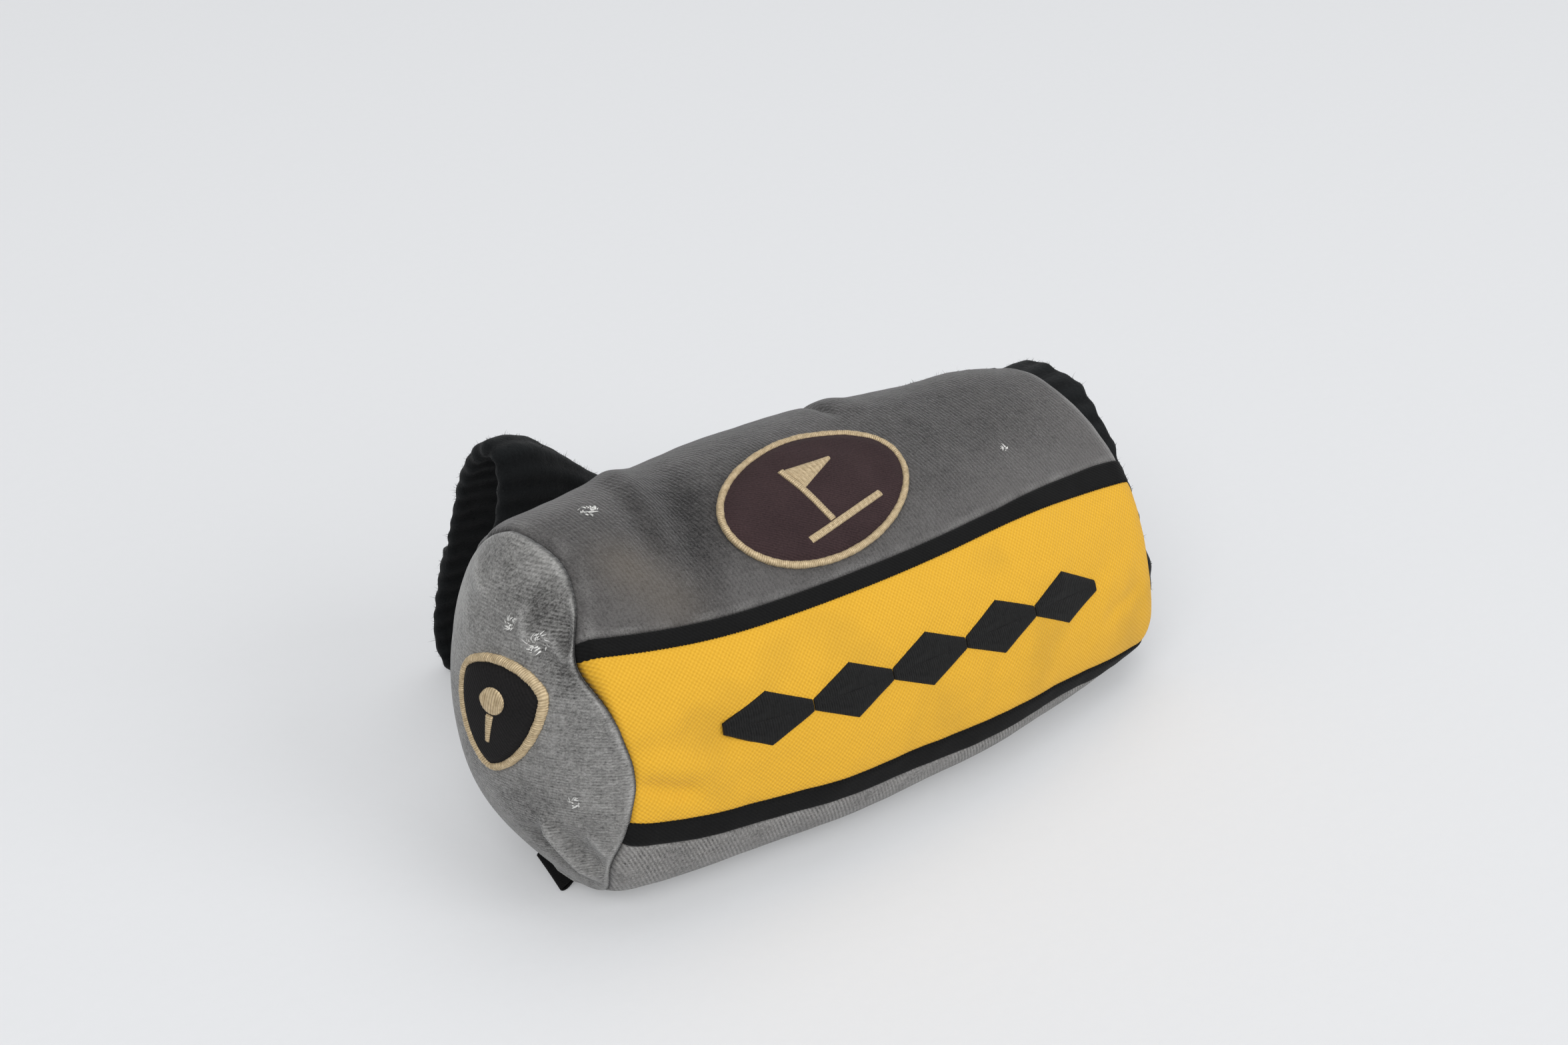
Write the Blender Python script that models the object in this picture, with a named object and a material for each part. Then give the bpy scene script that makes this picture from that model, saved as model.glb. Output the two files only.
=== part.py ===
"""Golf club head cover: a padded barrel pouch lying on its sole, with a rib-knit sock folded back along it.

Lengths are in metres and +Z is up. +X runs along the pouch from its toe panel to its
neck, -Y is the front with the stripe, and the origin is on the table under the middle
of the pouch. The sock swings out about the leaning line where it folds behind the neck.
"""

from functools import lru_cache
from math import atan2, ceil, cos, hypot, pi, radians, sin, tan

import bmesh
import bpy
import numpy as np
from mathutils import Matrix, Vector

MM = 0.001

# Pouch, measured on its outside
POUCH_LENGTH = 142 * MM  # toe seam to neck seam
TOE_TOP = 73.5 * MM
BELLY_TOP = 71 * MM
NECK_TOP = 60 * MM
TOE_LIFT = 1 * MM  # the toe seam's foot above the table
NECK_LIFT = 2.2 * MM
TOE_DEPTH = 55.5 * MM  # front to back
BELLY_DEPTH = 70 * MM
NECK_DEPTH = 58 * MM
BELLY_FROM_TOE = 40.5 * MM
TOE_LEAN = radians(8)
BELLY_LEAN = radians(13)
NECK_LEAN = radians(18.5)
POUCH_BACK = 0.9 * MM  # the section's foot behind the middle plane
POUCH_SQUARENESS = 2.16  # exponent of the rounded section
SQUARENESS_SPREAD = 0.41  # squarer low at the front, rounder high at the back
REST_SINK = 1.5 * MM  # how much of the round sole is pressed flat
TOE_BULGE = 15.5 * MM
TOE_ROUNDNESS = 2.2
SEAM_DIP = 0.9 * MM  # the cloth thins where it turns into a seam
SEAM_DIP_LENGTH = 4 * MM

# Cloth layers, from the outside in
CLOTH = 1.6 * MM
PADDING = 2.6 * MM
LINING = 1.0 * MM
LAYER_GAP = 0.4 * MM
SEAM_GAP = 0.3 * MM

# Stripe and its tapes, across the front
STRIPE_TOE_WIDTH = 35 * MM
STRIPE_NECK_WIDTH = 40 * MM
TAPE_WIDTH = 4.6 * MM
TAPE_RISE = 0.3 * MM
STRIPE_RAISE = 2.9 * MM  # its middle above half height
STRIPE_TOE_RISE = 3.3 * MM
STRIPE_RISE_LENGTH = 35 * MM
STRIPE_NECK_FALL = 6.2 * MM
STRIPE_FALL_LENGTH = 50 * MM
SOLE_WIDTH = 62 * MM

# Badges and embroidery
BADGE_LIFT = 0.3 * MM  # gap under each applied piece
BADGE_THICKNESS = 0.9 * MM
BADGE_FACETS = 32
OVAL_LENGTH = 47.5 * MM
OVAL_WIDTH = 26.2 * MM
OVAL_TURN = radians(12)  # neck end up
OVAL_FROM_TOE = 62.8 * MM
OVAL_ABOVE_FRONT = 43.5 * MM  # along the cloth from half height
BORDER_WIDTH = 2.2 * MM
BORDER_HEIGHT = 1.6 * MM
SHIELD_WIDTH = 17 * MM
SHIELD_HEIGHT = 19 * MM
SHIELD_CENTRE_Z = 45.5 * MM
SHIELD_CENTRE_Y = -6 * MM  # from the toe's middle
SHIELD_TAPER = 0.11
MOTIF_THICKNESS = 0.6 * MM
DIAMONDS = 5
DIAMOND_LENGTH = 20 * MM
DIAMOND_WIDTH = 12 * MM
DIAMOND_NECK = 2.4 * MM

# Tab at the foot of the toe seam, and the elastic in the neck
TAB_WIDTH = 15 * MM
TAB_LENGTH = 6 * MM
TAB_THICKNESS = 0.9 * MM
TAB_TUCK = 0.4 * MM  # from the seam to the end under the toe
ELASTIC_WIDTH = 10 * MM
ELASTIC_THICKNESS = 1.2 * MM
ELASTIC_INSET = 2 * MM

# Knit sock
KNIT = 2.4 * MM
KNIT_INSET = 2.4 * MM  # the knit's ring inside the neck's rim
KNIT_BACK = 1.8 * MM  # and its shift towards the fold
KNIT_UP = 0.9 * MM
CUFF_LENGTH = 1.6 * MM
FOLD_CREASE = 0.6 * MM  # how far the fold's tight inside bulges
FOLD_BULGE = 6.8 * MM  # and its wide outside
FOLD_SQUARENESS = 3
FOLD_DELAY = 4  # exponent: the fold clears the neck before it turns back
SOCK_LENGTH = 121 * MM
SOCK_THICKNESS = 20.5 * MM
SOCK_BODY_HEIGHT = 42 * MM
SOCK_MOUTH_HEIGHT = 67.5 * MM
SOCK_FLARE_LENGTH = 44 * MM  # over which it rises to the mouth
SOCK_LEAN = radians(19.5)
SOCK_SQUARENESS = 2.4
SOCK_LIFT = 0.4 * MM
SOCK_GAP = 1.0 * MM
SOCK_SPLAY = 2 * MM  # the mouth further from the pouch than the root
HEM_LENGTH = 13 * MM
HEM_WALL = 3.2 * MM
HINGE_GAP = 1.0 * MM
ROOT_SETBACK = 2.6 * MM

SECTION_STEPS = 360
POUCH_STEP = 14 * MM
TUBE_FACETS = 36
SOCK_FACETS = 28
WRAP_STEP = 5 * MM
FOLD_STEPS = 10

X_TOE = -POUCH_LENGTH / 2
X_NECK = POUCH_LENGTH / 2
X_BELLY = X_TOE + BELLY_FROM_TOE
HALF_GAP = SEAM_GAP / 2
PADDING_DEPTH = CLOTH + LAYER_GAP
LINING_DEPTH = PADDING_DEPTH + PADDING + LAYER_GAP
INSIDE_DEPTH = LINING_DEPTH + LINING
X_HINGE = X_NECK + CUFF_LENGTH
X_ROOT = X_HINGE - ROOT_SETBACK
X_MOUTH = X_ROOT - SOCK_LENGTH


def along(x, toe, belly, neck):
    """A size that runs smoothly through its values at the toe, the belly and the neck."""
    from_toe = (x - X_BELLY) * (x - X_NECK) / ((X_TOE - X_BELLY) * (X_TOE - X_NECK))
    from_belly = (x - X_TOE) * (x - X_NECK) / ((X_BELLY - X_TOE) * (X_BELLY - X_NECK))
    from_neck = (x - X_TOE) * (x - X_BELLY) / ((X_NECK - X_TOE) * (X_NECK - X_BELLY))
    return toe * from_toe + belly * from_belly + neck * from_neck


def rounded(turn, half_width, half_height, squareness):
    """Points of a superellipse at each angle, from its side upwards."""
    side = np.sign(np.cos(turn)) * np.abs(np.cos(turn)) ** (2 / squareness)
    rise = np.sign(np.sin(turn)) * np.abs(np.sin(turn)) ** (2 / squareness)
    return half_width * side, half_height * rise


def barrel_reach(turn):
    """Reach of the pouch's section at each angle, for unit half axes."""
    n = POUCH_SQUARENESS + SQUARENESS_SPREAD * np.cos(turn + pi / 4)
    return (np.abs(np.cos(turn)) ** n + np.abs(np.sin(turn)) ** n) ** (-1 / n)


def measured(y, z):
    """Arc length, points and outward normals of a closed outline."""
    points = np.column_stack([y, z])
    steps = np.linalg.norm(np.diff(points, axis=0), axis=1)
    arc = np.concatenate([[0], np.cumsum(steps)])
    tangent = np.roll(points[:-1], -1, axis=0) - np.roll(points[:-1], 1, axis=0)
    tangent /= np.linalg.norm(tangent, axis=1)[:, None]
    tangent = np.vstack([tangent, tangent[:1]])
    middle = points[:-1].mean(axis=0)
    normal = np.column_stack([tangent[:, 1], -tangent[:, 0]])
    if ((points - middle) * normal).sum() < 0:
        normal = -normal
    return arc, points, normal


def pouch_frame(x):
    """Half depth, half height, middle height and lean of the pouch's section."""
    x = min(max(x, X_TOE), X_NECK)
    bottom = along(x, TOE_LIFT, -REST_SINK, NECK_LIFT)
    top = along(x, TOE_TOP, BELLY_TOP, NECK_TOP)
    half_depth = along(x, TOE_DEPTH, BELLY_DEPTH, NECK_DEPTH) / 2
    lean = tan(along(x, TOE_LEAN, BELLY_LEAN, NECK_LEAN))
    return half_depth, (top - bottom) / 2, (top + bottom) / 2, lean


@lru_cache(maxsize=None)
def pouch_section(x):
    """The pouch's outline at x, from the front at half height over the top and round."""
    half_depth, half_height, middle, lean = pouch_frame(x)
    turn = np.linspace(0, 2 * pi, SECTION_STEPS + 1)
    z = middle + half_height * barrel_reach(turn) * np.sin(turn)
    y = POUCH_BACK + lean * z - half_depth * barrel_reach(turn) * np.cos(turn)
    return measured(y, np.maximum(z, 0))


def at_arc(outline, s, depth):
    """The point s along an outline, moved in by depth."""
    arc, points, normal = outline
    s = s % arc[-1]
    y, z = (np.interp(s, arc, points[:, k]) - depth * np.interp(s, arc, normal[:, k]) for k in (0, 1))
    return y, z


def on_pouch(x, s, depth=0.0):
    y, z = at_arc(pouch_section(x), s, depth)
    return Vector((x, y, z))


def girth(x):
    return pouch_section(x)[0][-1]


def stripe_middle(x):
    near_toe = max(0.0, (X_TOE + STRIPE_RISE_LENGTH - x) / STRIPE_RISE_LENGTH)
    near_neck = max(0.0, (x - X_NECK + STRIPE_FALL_LENGTH) / STRIPE_FALL_LENGTH)
    return STRIPE_RAISE + STRIPE_TOE_RISE * near_toe**2 - STRIPE_NECK_FALL * near_neck**2


def stripe_width(x):
    return STRIPE_TOE_WIDTH + (STRIPE_NECK_WIDTH - STRIPE_TOE_WIDTH) * (x - X_TOE) / POUCH_LENGTH


def seam_dip(x):
    """How far the cloth's outside sinks near the toe and neck seams."""
    nearest = min(x - X_TOE, X_NECK - x)
    return SEAM_DIP * max(0.0, 1 - nearest / SEAM_DIP_LENGTH) ** 2


def stations(x0, x1, step):
    count = max(1, ceil((x1 - x0) / step - 1e-6))
    return [x0 + (x1 - x0) * k / count for k in range(count + 1)]


def cloth_stations():
    """Even stations along the pouch, with more where the cloth dips into its end seams."""
    even = stations(X_TOE + HALF_GAP, X_NECK - HALF_GAP, POUCH_STEP)
    dips = [0.3 * SEAM_DIP_LENGTH, SEAM_DIP_LENGTH]
    return sorted(even + [even[0] + d for d in dips] + [even[-1] - d for d in dips])


def material(name, colour, roughness):
    """A plain material; the colour is given as it looks on a screen."""
    made = bpy.data.materials.get(name)
    if made is None:
        made = bpy.data.materials.new(name)
        made.use_nodes = True
        linear = [((c / 255 + 0.055) / 1.055) ** 2.4 for c in colour]
        shader = made.node_tree.nodes["Principled BSDF"]
        shader.inputs["Base Color"].default_value = (*linear, 1)
        shader.inputs["Roughness"].default_value = roughness
    return made


def finish(bm, name, look):
    bmesh.ops.recalc_face_normals(bm, faces=bm.faces)
    mesh = bpy.data.meshes.new(name)
    bm.to_mesh(mesh)
    bm.free()
    mesh.materials.append(look)
    made = bpy.data.objects.new(name, mesh)
    bpy.context.scene.collection.objects.link(made)
    return made


def skin_rows(bm, rows, ring):
    """Faces between neighbouring rows of points; ring also joins each row's two ends."""
    grid = [[bm.verts.new(p) for p in row] for row in rows]
    count = len(grid[0])
    for lower, upper in zip(grid, grid[1:]):
        for i in range(count if ring else count - 1):
            j = (i + 1) % count
            bm.faces.new((lower[i], lower[j], upper[j], upper[i]))
    return grid


def wall(name, look, outer, inner, ring):
    """A solid between two grids of points of the same size."""
    bm = bmesh.new()
    outside, inside = (skin_rows(bm, rows, ring) for rows in (outer, inner))
    count = len(outside[0])
    for end in (0, -1):
        for i in range(count if ring else count - 1):
            j = (i + 1) % count
            bm.faces.new((outside[end][i], outside[end][j], inside[end][j], inside[end][i]))
    if not ring:
        for side in (0, -1):
            for r in range(len(outside) - 1):
                bm.faces.new((outside[r][side], outside[r + 1][side], inside[r + 1][side], inside[r][side]))
    return finish(bm, name, look)


def bowl(name, look, outer, inner):
    """A domed solid: two nests of rings, closed across the middle and joined at the rim."""
    bm = bmesh.new()
    outside, inside = (skin_rows(bm, rows, True) for rows in (outer, inner))
    count = len(outside[0])
    for i in range(count):
        j = (i + 1) % count
        bm.faces.new((outside[0][i], outside[0][j], inside[0][j], inside[0][i]))
    for grid in (outside, inside):
        bm.faces.new(grid[-1])
    return finish(bm, name, look)


def cloth_panel(name, look, low, high, facets, rise=0.0):
    """A strip of the pouch's cloth between two arc positions, each a function of x."""
    outer, inner = [], []
    for x in cloth_stations():
        arcs = [low(x) + (high(x) - low(x)) * k / facets for k in range(facets + 1)]
        outer.append([on_pouch(x, s, seam_dip(x) - rise) for s in arcs])
        inner.append([on_pouch(x, s, CLOTH) for s in arcs])
    return wall(name, look, outer, inner, ring=False)


def pouch_ring(x, depth):
    return [on_pouch(x, girth(x) * k / TUBE_FACETS, depth) for k in range(TUBE_FACETS)]


def pouch_tube(name, look, x0, x1, depth, thickness):
    """A sleeve all round, at a depth below the pouch's outside."""
    at = stations(x0, x1, POUCH_STEP)
    outer = [pouch_ring(x, depth) for x in at]
    inner = [pouch_ring(x, depth + thickness) for x in at]
    return wall(name, look, outer, inner, ring=True)


def toe_centre():
    _, _, middle, lean = pouch_frame(X_TOE)
    return POUCH_BACK + middle * lean, middle


def toe_x(share, depth=0.0):
    """The dome's X at a share of the way from its middle to the toe seam."""
    return X_TOE - HALF_GAP - (TOE_BULGE - depth) * (1 - share**TOE_ROUNDNESS)


def toe_ring(share, depth):
    y0, z0 = toe_centre()
    ring = []
    for rim in pouch_ring(X_TOE, depth):
        ring.append(Vector((toe_x(share, depth), y0 + share * (rim.y - y0), z0 + share * (rim.z - z0))))
    return ring


def toe_layer(name, look, depth, thickness):
    shares = (1, 0.88, 0.7, 0.48, 0.24)
    outer = [toe_ring(share, depth) for share in shares]
    inner = [toe_ring(share, depth + thickness) for share in shares]
    return bowl(name, look, outer, inner)


def on_toe(right, up, height):
    """A point on the toe dome, from its place right of and above the badge's middle as seen from outside."""
    half_depth, half_height, middle, lean = pouch_frame(X_TOE)
    y = SHIELD_CENTRE_Y + toe_centre()[0] - right
    z = SHIELD_CENTRE_Z + up
    side = (POUCH_BACK + z * lean - y) / half_depth
    rise = (z - middle) / half_height
    share = min(hypot(side, rise) / barrel_reach(atan2(rise, side)), 1)
    return Vector((toe_x(share) - height, y, z))


def on_crown(right, up, height):
    along = right * cos(OVAL_TURN) - up * sin(OVAL_TURN)
    across = right * sin(OVAL_TURN) + up * cos(OVAL_TURN)
    return on_pouch(X_TOE + OVAL_FROM_TOE + along, OVAL_ABOVE_FRONT + across, -height)


def on_stripe(right, up, height):
    return on_pouch(right, stripe_middle(right) + up, -height)


def wrapped_plate(name, look, outline, low, high, place):
    """A flat outline given thickness, cut into narrow strips and laid on a curved cloth."""
    bm = bmesh.new()
    face = bm.faces.new([bm.verts.new((right, up, low)) for right, up in outline])
    raised = bmesh.ops.extrude_face_region(bm, geom=[face], use_keep_orig=True)
    for vert in raised["geom"]:
        if isinstance(vert, bmesh.types.BMVert):
            vert.co.z = high
    for axis in (0, 1):
        ends = [point[axis] for point in outline]
        for at in stations(min(ends), max(ends), WRAP_STEP)[1:-1]:
            plane = Vector((at, 0, 0)) if axis == 0 else Vector((0, at, 0))
            across = Vector((1, 0, 0)) if axis == 0 else Vector((0, 1, 0))
            geom = [*bm.verts, *bm.edges, *bm.faces]
            bmesh.ops.bisect_plane(bm, geom=geom, dist=1e-7, plane_co=plane, plane_no=across)
    bmesh.ops.triangulate(bm, faces=bm.faces)
    for vert in bm.verts:
        vert.co = place(*vert.co)
    return finish(bm, name, look)


def border(name, look, outline, place):
    """An overlocked rim: a rounded bead round an outline, just outside it."""
    count = len(outline)
    profile = [(0, 0), (1, 0), (1, 0.45), (0.75, 0.9), (0.25, 0.9), (0, 0.45)]
    rows = []
    for i in range(count):
        before, here, after = (Vector(outline[(i + k) % count]) for k in (-1, 0, 1))
        run = (after - before).normalized()
        outwards = Vector((run.y, -run.x))
        row = []
        for share, rise in profile:
            spot = here + outwards * (SEAM_GAP + share * BORDER_WIDTH)
            row.append(place(spot.x, spot.y, BADGE_LIFT + rise * BORDER_HEIGHT))
        rows.append(row)
    bm = bmesh.new()
    grid = skin_rows(bm, rows, True)
    for i in range(len(profile)):
        j = (i + 1) % len(profile)
        bm.faces.new((grid[-1][i], grid[-1][j], grid[0][j], grid[0][i]))
    return finish(bm, name, look)


def oval_outline():
    turns = [2 * pi * k / BADGE_FACETS for k in range(BADGE_FACETS)]
    return [(OVAL_LENGTH / 2 * cos(a), OVAL_WIDTH / 2 * sin(a)) for a in turns]


def shield_outline():
    """A triangle with round corners, point down, from how far its sides stand out at each angle."""
    outline = []
    for k in range(BADGE_FACETS):
        a = 2 * pi * k / BADGE_FACETS
        stand, change = 1 + SHIELD_TAPER * sin(3 * a), 3 * SHIELD_TAPER * cos(3 * a)
        right, up = stand * cos(a) - change * sin(a), stand * sin(a) + change * cos(a)
        outline.append((SHIELD_WIDTH / 2 * right, SHIELD_HEIGHT / 2 * up))
    return outline


def flag_outline():
    """A pennant on a pole above a ground line."""
    pole, half_ground = 1.7 * MM, 0.24 * OVAL_LENGTH
    foot, top = -0.27 * OVAL_WIDTH, 0.29 * OVAL_WIDTH
    pole_x, fly = -0.09 * OVAL_LENGTH, 0.19 * OVAL_LENGTH
    hem = 0.04 * OVAL_WIDTH
    return [
        (-half_ground, foot - pole),
        (half_ground, foot - pole),
        (half_ground, foot),
        (pole_x + pole, foot),
        (pole_x + pole, hem),
        (fly, (hem + top) / 2),
        (pole_x + pole, top),
        (pole_x, top),
        (pole_x, foot),
        (-half_ground, foot),
    ]


def tee_outline():
    """A ball on a tapered peg."""
    ball = 0.17 * SHIELD_WIDTH
    ball_up = 0.12 * SHIELD_HEIGHT
    turns = [radians(-60 + 25 * k) for k in range(13)]
    around = [(ball * cos(a), ball_up + ball * sin(a)) for a in turns]
    collar = ball_up - ball - 0.02 * SHIELD_HEIGHT
    tip = -0.33 * SHIELD_HEIGHT
    stem, point = 0.045 * SHIELD_WIDTH, 0.02 * SHIELD_WIDTH
    return [*around, (-stem, collar), (-point, tip), (point, tip), (stem, collar)]


def diamond_outline():
    """A row of diamonds joined at their points."""
    first = -DIAMONDS * DIAMOND_LENGTH / 2
    upper = []
    for k in range(DIAMONDS):
        x = first + k * DIAMOND_LENGTH
        upper += [(x, DIAMOND_NECK / 2), (x + DIAMOND_LENGTH / 2, DIAMOND_WIDTH / 2)]
    upper.append((-first, DIAMOND_NECK / 2))
    return [(x, -up) for x, up in upper] + upper[::-1]


def sock_frame(x):
    """Half height and middle height of the sock's section."""
    share = (X_ROOT - x) / SOCK_LENGTH
    bottom = NECK_LIFT + (SOCK_LIFT - NECK_LIFT) * share
    flare = min((x - X_MOUTH) / SOCK_FLARE_LENGTH, 1)
    height = SOCK_BODY_HEIGHT + (SOCK_MOUTH_HEIGHT - SOCK_BODY_HEIGHT) * (1 + cos(pi * flare)) / 2
    return height / 2, bottom + height / 2


@lru_cache(maxsize=None)
def sock_offset():
    """The sock's middle Y where it just clears the pouch's back all along."""
    needed = []
    for x in stations(X_MOUTH, X_NECK, POUCH_STEP):
        half_height, middle = sock_frame(x)
        _, points, _ = pouch_section(max(x, X_TOE))
        back = points[SECTION_STEPS // 4 : 3 * SECTION_STEPS // 4]
        rise = (back[:, 1] - middle) / half_height
        inside = np.abs(rise) < 1
        share = (1 - np.abs(rise[inside]) ** SOCK_SQUARENESS) ** (1 / SOCK_SQUARENESS)
        near = -SOCK_THICKNESS / 2 * share - tan(SOCK_LEAN) * rise[inside] * half_height
        needed.append((back[inside, 0] - near).max())
    return max(needed) + SOCK_GAP


def sock_middle(x):
    return sock_offset() + SOCK_SPLAY * (X_ROOT - x) / SOCK_LENGTH


@lru_cache(maxsize=None)
def sock_section(x):
    """The sock's outline at x, from its far wall over the top and round."""
    half_height, middle = sock_frame(x)
    turn = np.linspace(0, 2 * pi, SECTION_STEPS + 1)
    side, rise = rounded(turn, SOCK_THICKNESS / 2, half_height, SOCK_SQUARENESS)
    return measured(sock_middle(x) + side - tan(SOCK_LEAN) * rise, middle + rise)


def sock_ring(x, depth):
    outline = sock_section(x)
    ring = []
    for k in range(SOCK_FACETS):
        ring.append(Vector((x, *at_arc(outline, outline[0][-1] * k / SOCK_FACETS, depth))))
    return ring


def cuff_ring(x, depth):
    steps = [girth(X_NECK) * k / SOCK_FACETS for k in range(SOCK_FACETS)]
    ring = []
    for s in steps:
        y, z = at_arc(pouch_section(X_NECK), s, depth + KNIT_INSET)
        ring.append(Vector((x, y + KNIT_BACK, z + KNIT_UP)))
    return ring


def sock_wall(name, look, x0, x1, depth, thickness):
    at = stations(x0, x1, POUCH_STEP)
    outer = [sock_ring(x, depth) for x in at]
    inner = [sock_ring(x, depth + thickness) for x in at]
    return wall(name, look, outer, inner, ring=True)


def fold_rows():
    """Rings that carry the cuff's end round a flattened half turn to the sock's root."""
    turn_start, turn_end = X_HINGE + HALF_GAP, X_ROOT + HALF_GAP
    start, end = (np.array(ring) for ring in (cuff_ring(turn_start, 0), sock_ring(X_ROOT, 0)))
    half = (end[:, 1] - start[:, 1]) / 2
    share = (half - half.min()) / (half.max() - half.min())
    bulge = FOLD_CREASE + (FOLD_BULGE - FOLD_CREASE) * share
    across, out = rounded(np.linspace(0, pi, FOLD_STEPS + 1), 1, 1, FOLD_SQUARENESS)
    through = (1 - across)[:, None] / 2
    rows = start + (end - start) * through[:, :, None]
    rows[:, :, 0] = turn_start + (turn_end - turn_start) * through**FOLD_DELAY + bulge * out[:, None]
    return rows


def pressed_fold(name, look):
    """The folded knit, pressed flat so that its walls lie together as one solid."""
    bm = bmesh.new()
    grid = skin_rows(bm, fold_rows(), True)
    for ring in (grid[0], grid[-1]):
        bm.faces.new(ring)
    return finish(bm, name, look)


def build():
    for old in list(bpy.data.objects):
        bpy.data.objects.remove(old)

    velour = material("grey velour", (112, 110, 108), 0.95)
    canvas = material("yellow canvas", (232, 186, 36), 0.8)
    tape = material("black tape", (30, 29, 29), 0.7)
    knit = material("black rib knit", (22, 22, 23), 0.95)
    gold = material("gold thread", (196, 158, 74), 0.5)
    brown = material("brown twill", (58, 40, 32), 0.8)
    black = material("black twill", (24, 23, 23), 0.8)
    foam = material("padding foam", (214, 206, 188), 0.9)
    nylon = material("lining nylon", (52, 52, 54), 0.6)
    rubber = material("woven elastic", (40, 40, 42), 0.8)

    def edge(side, beyond, turns=0):
        """A line along the pouch, this far past the stripe's upper (1) or lower (-1) edge."""
        return lambda x: stripe_middle(x) + side * (stripe_width(x) / 2 + beyond) + turns * girth(x)

    tape_end = SEAM_GAP + TAPE_WIDTH
    panel_start = tape_end + SEAM_GAP
    sole_end = panel_start + SOLE_WIDTH
    cloth_panel("stripe_panel", canvas, edge(-1, 0), edge(1, 0), 8)
    cloth_panel("upper_tape", tape, edge(1, SEAM_GAP), edge(1, tape_end), 2, TAPE_RISE)
    cloth_panel("lower_tape", tape, edge(-1, tape_end), edge(-1, SEAM_GAP), 2, TAPE_RISE)
    cloth_panel("crown_panel", velour, edge(1, panel_start), edge(-1, sole_end + SEAM_GAP, 1), 24)
    cloth_panel("sole_panel", velour, edge(-1, sole_end), edge(-1, panel_start), 13)
    toe_layer("toe_panel", velour, 0, CLOTH)

    front, back = X_TOE + HALF_GAP, X_NECK - HALF_GAP
    pouch_tube("pouch_padding", foam, front, back, PADDING_DEPTH, PADDING)
    pouch_tube("pouch_lining", nylon, front, back, LINING_DEPTH, LINING)
    toe_layer("toe_padding", foam, PADDING_DEPTH, PADDING)
    toe_layer("toe_lining", nylon, LINING_DEPTH, LINING)
    elastic_end = X_NECK - ELASTIC_INSET
    elastic_start = elastic_end - ELASTIC_WIDTH
    pouch_tube("neck_elastic", rubber, elastic_start, elastic_end, INSIDE_DEPTH + LAYER_GAP, ELASTIC_THICKNESS)

    face_low, face_high = BADGE_LIFT, BADGE_LIFT + BADGE_THICKNESS
    motif_low = face_high + BADGE_LIFT
    motif_high = motif_low + MOTIF_THICKNESS
    wrapped_plate("crown_badge", brown, oval_outline(), face_low, face_high, on_crown)
    border("crown_badge_border", gold, oval_outline(), on_crown)
    wrapped_plate("crown_badge_motif", gold, flag_outline(), motif_low, motif_high, on_crown)
    wrapped_plate("toe_badge", black, shield_outline(), face_low, face_high, on_toe)
    border("toe_badge_border", gold, shield_outline(), on_toe)
    wrapped_plate("toe_badge_motif", gold, tee_outline(), motif_low, motif_high, on_toe)
    stitched = BADGE_LIFT + MOTIF_THICKNESS
    wrapped_plate("stripe_motif", black, diamond_outline(), BADGE_LIFT, stitched, on_stripe)

    tab_x = X_TOE - HALF_GAP - TAB_LENGTH - TAB_TUCK
    tab = bmesh.new()
    bmesh.ops.create_cube(tab, size=1)
    middle = Vector((tab_x + TAB_LENGTH / 2, 0, BADGE_LIFT + TAB_THICKNESS / 2))
    bmesh.ops.scale(tab, vec=(TAB_LENGTH, TAB_WIDTH, TAB_THICKNESS), verts=tab.verts)
    bmesh.ops.translate(tab, vec=middle, verts=tab.verts)
    bmesh.ops.bevel(tab, geom=tab.edges, offset=TAB_THICKNESS / 4, segments=1, affect="EDGES")
    finish(tab, "toe_tab", tape)

    at = [X_NECK + HALF_GAP, X_HINGE - HALF_GAP]
    outer, inner = ([cuff_ring(x, depth) for x in at] for depth in (0, KNIT))
    wall("neck_cuff", knit, outer, inner, ring=True)
    pressed_fold("sock_fold", knit)
    hem_start = X_MOUTH + HEM_LENGTH
    tube = sock_wall("sock_tube", knit, hem_start + HALF_GAP, X_ROOT - HALF_GAP, 0, KNIT)
    hem = sock_wall("sock_hem", knit, X_MOUTH, hem_start - HALF_GAP, 0, HEM_WALL)

    hinge = bpy.data.objects.new("sock_hinge", None)
    bpy.context.scene.collection.objects.link(hinge)
    _, root_middle = sock_frame(X_ROOT)
    near_wall = sock_middle(X_ROOT) - SOCK_THICKNESS / 2
    hinge.matrix_world = Matrix.LocRotScale(
        Vector((X_HINGE, near_wall - HINGE_GAP, root_middle)),
        Matrix.Rotation(SOCK_LEAN, 3, "X"),
        None,
    )
    for moving in (tube, hem):
        moving.parent = hinge
        moving.matrix_parent_inverse = hinge.matrix_world.inverted()


build()
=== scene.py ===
"""Golf club head cover, dressed: a padded velour pouch with a taped canvas stripe, stitched
badges and a rib-knit sock folded back along it. Metres, +Z up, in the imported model's frame."""

from math import cos, pi, radians, sin, tan

import bmesh
import bpy
import numpy as np
from mathutils import Matrix, Vector


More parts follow.
